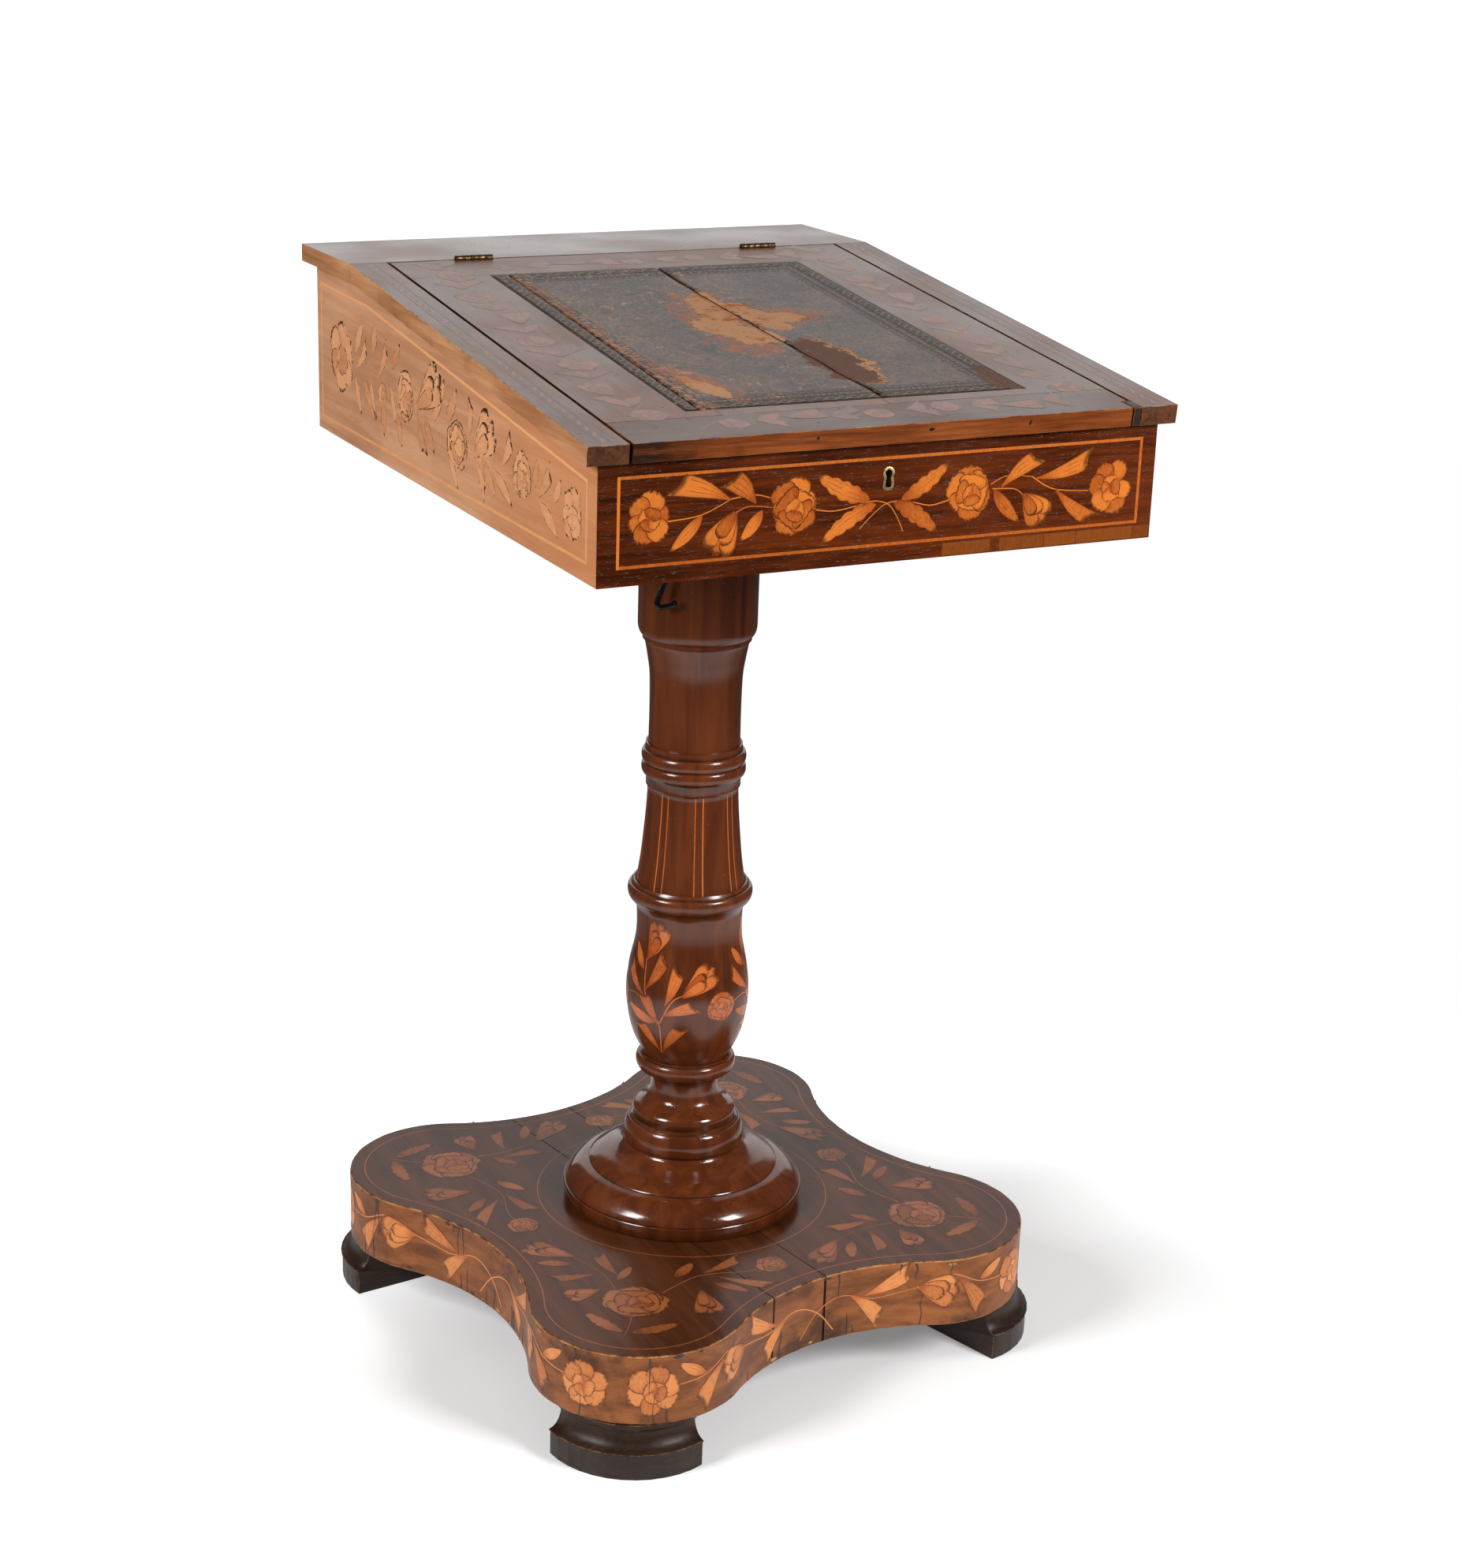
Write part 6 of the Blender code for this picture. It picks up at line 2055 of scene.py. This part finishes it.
@dataclass
class Studio:
    """Camera at the photograph's place, white ground and soft lamps."""

    place: Vector = field(default_factory=lambda: Vector((-0.9815, -1.9901, 1.2161)))
    azimuth: float = math.radians(-25.616)
    pitch: float = math.radians(19.61)
    roll: float = math.radians(1.453)
    focal_px: float = 3621.2
    centre_px: Spot = (844.4, 1066.0)
    image_px: Spot = (1854.0, 1988.0)
    sensor_mm: float = 36.0
    floor_glow: float = 0.20
    floor_reach: float = 1.25
    glow_fade: Spot = (0.28, 0.66)
    paper_fade: Spot = (0.50, 1.10)
    shadow_middles: tuple[Spot, Spot] = ((0.15, -0.20), (-0.10, -0.28))
    room_glow: float = 0.18
    room_mirror: float = 0.06
    backdrop_far: float = 3.2
    backdrop_half: float = 1.9
    backdrop_rise: float = 4.0
    backdrop_low: float = 0.1
    lamp_aim: float = 0.5
    lamps: tuple[Lamp, ...] = (Lamp("left_softbox", -78, 28, 2.4, (0.7, 0.9), 47),
                               Lamp("right_softbox", 28, 28, 2.4, (0.6, 0.8), 50))

    def camera(self) -> None:
        """Sets up the camera."""
        data = bpy.data.cameras.new("photo_camera")
        data.sensor_fit = "HORIZONTAL"
        data.sensor_width = self.sensor_mm
        data.lens = self.focal_px / self.image_px[0] * self.sensor_mm
        data.shift_x = (self.image_px[0] / 2 - self.centre_px[0]) / self.image_px[0]
        data.shift_y = (self.centre_px[1] - self.image_px[1] / 2) / self.image_px[0]
        back = toward(self.azimuth, self.pitch)
        right = (-back).cross(UP).normalized()
        up = right.cross(-back)
        level = right * math.cos(self.roll) + up * math.sin(self.roll)
        rise = up * math.cos(self.roll) - right * math.sin(self.roll)
        camera = bpy.data.objects.new("photo_camera", data)
        turn = Matrix((level, rise, back)).transposed().to_4x4()
        camera.matrix_world = Matrix.Translation(self.place) @ turn
        bpy.context.scene.collection.objects.link(camera)
        bpy.context.scene.camera = camera

    def hang(self, lamp: Lamp) -> None:
        """Hangs one soft lamp.

        Args:
            lamp: The lamp.
        """
        data = bpy.data.lights.new(lamp.name, "AREA")
        data.shape = "RECTANGLE"
        data.size, data.size_y = lamp.size
        data.energy = lamp.power
        light = bpy.data.objects.new(lamp.name, data)
        way = toward(math.radians(lamp.azimuth), math.radians(lamp.elevation))
        light.location = Vector((0, 0, self.lamp_aim)) + way * lamp.distance
        light.rotation_euler = way.to_track_quat("Z", "Y").to_euler()
        bpy.context.scene.collection.objects.link(light)

    def sheet(self, name: str, bm: BMesh, recipe: Recipe) -> None:
        """Hangs or lays one sheet of the set.

        Args:
            name: Name of the sheet.
            bm: Its shape; it is freed.
            recipe: Its material.
        """
        sheet = placed(bm, name, [recipe.material])

    def floor(self) -> None:
        """Lays the white floor, which keeps the desk's shadow and is plain white farther out."""
        recipe = Recipe("white_paper")
        across, deep = recipe.split(recipe.place())
        reaches = []
        for middle in self.shadow_middles:
            aside = recipe.minus(across, middle[0])
            ahead = recipe.minus(deep, middle[1])
            reaches.append(recipe.sums("SQRT", recipe.plus(recipe.times(aside, aside),
                                                           recipe.times(ahead, ahead))))
        far = recipe.least(*reaches)
        camera, glossy = self.rays(recipe)
        seen = recipe.times(camera, recipe.fade(far, *self.glow_fade, self.floor_glow, 1.0))
        mirrored = recipe.times(glossy, self.floor_glow)
        recipe.wire(recipe.shader.inputs["Emission Strength"], recipe.plus(seen, mirrored))
        recipe.shader.inputs["Emission Color"].default_value = WHITE
        paper, black = (0.80, 0.80, 0.80, 1.0), (0.0, 0.0, 0.0, 1.0)
        recipe.done(recipe.blend(recipe.fade(far, *self.paper_fade), paper, black), 0.9, 0.0)
        bm = bmesh.new()
        bmesh.ops.create_circle(bm, cap_ends=True, segments=128, radius=self.floor_reach)
        self.sheet("floor", bm, recipe)

    def backdrop(self) -> None:
        """Hangs the white sheet behind the desk that its polish mirrors."""
        recipe = Recipe("white_backdrop")
        camera, glossy = self.rays(recipe)
        glow = recipe.sums("ADD", camera, glossy, clamp=True)
        recipe.wire(recipe.shader.inputs["Emission Strength"], glow)
        recipe.shader.inputs["Emission Color"].default_value = WHITE
        recipe.done((0.5, 0.5, 0.5, 1.0), 0.9, 0.0)
        away = Vector((-math.sin(self.azimuth), math.cos(self.azimuth), 0)) * self.backdrop_far
        turn = Matrix.Rotation(self.azimuth, 4, "Z") @ Matrix.Rotation(math.pi / 2, 4, "X")
        middle = Matrix.Translation(away + UP * (self.backdrop_rise + self.backdrop_low))
        shape = Matrix.Diagonal((self.backdrop_half / self.backdrop_rise, 1, 1, 1))
        bm = bmesh.new()
        bmesh.ops.create_grid(bm, x_segments=4, y_segments=4, size=self.backdrop_rise,
                              matrix=middle @ turn @ shape)
        self.sheet("backdrop", bm, recipe)

    @staticmethod
    def rays(board: NodeBoard) -> tuple[Socket, Socket]:
        """Tells rays that see a surface from rays that mirror it.

        Args:
            board: Node tree in the making.

        Returns:
            One for camera and transmission rays, and one for glossy rays.
        """
        path = board.tree.nodes.new("ShaderNodeLightPath")
        seen = board.most(path.outputs["Is Camera Ray"], path.outputs["Is Transmission Ray"])
        return seen, path.outputs["Is Glossy Ray"]

    def world(self) -> None:
        """Fills the room with even light and shows it white."""
        world = bpy.data.worlds.new("white_room")
        bpy.context.scene.world = world
        world.use_nodes = True
        board = NodeBoard(world.node_tree)
        seen, glossy = self.rays(board)
        room = board.fade(glossy, 0.0, 1.0, self.room_glow, self.room_mirror)
        background = board.tree.nodes["Background"]
        background.inputs["Color"].default_value = WHITE
        board.wire(background.inputs["Strength"], board.fade(seen, 0.0, 1.0, room, 1.0))

    def build(self) -> None:
        """Sets up the whole studio."""
        self.camera()
        self.floor()
        self.backdrop()
        self.world()
        for lamp in self.lamps:
            self.hang(lamp)
        bpy.context.scene.view_settings.view_transform = "Standard"


def main() -> None:
    """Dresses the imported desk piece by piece."""
    logging.basicConfig(level=logging.INFO, format="%(message)s")
    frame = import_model()
    Studio().build()
    Platform().build(frame)
    Column().build()
    DeskBox().build(frame)
    Lid().build(frame)
    Metalwork().build(frame)
    LOG.info("sizes written")


if __name__ == "__main__":
    main()
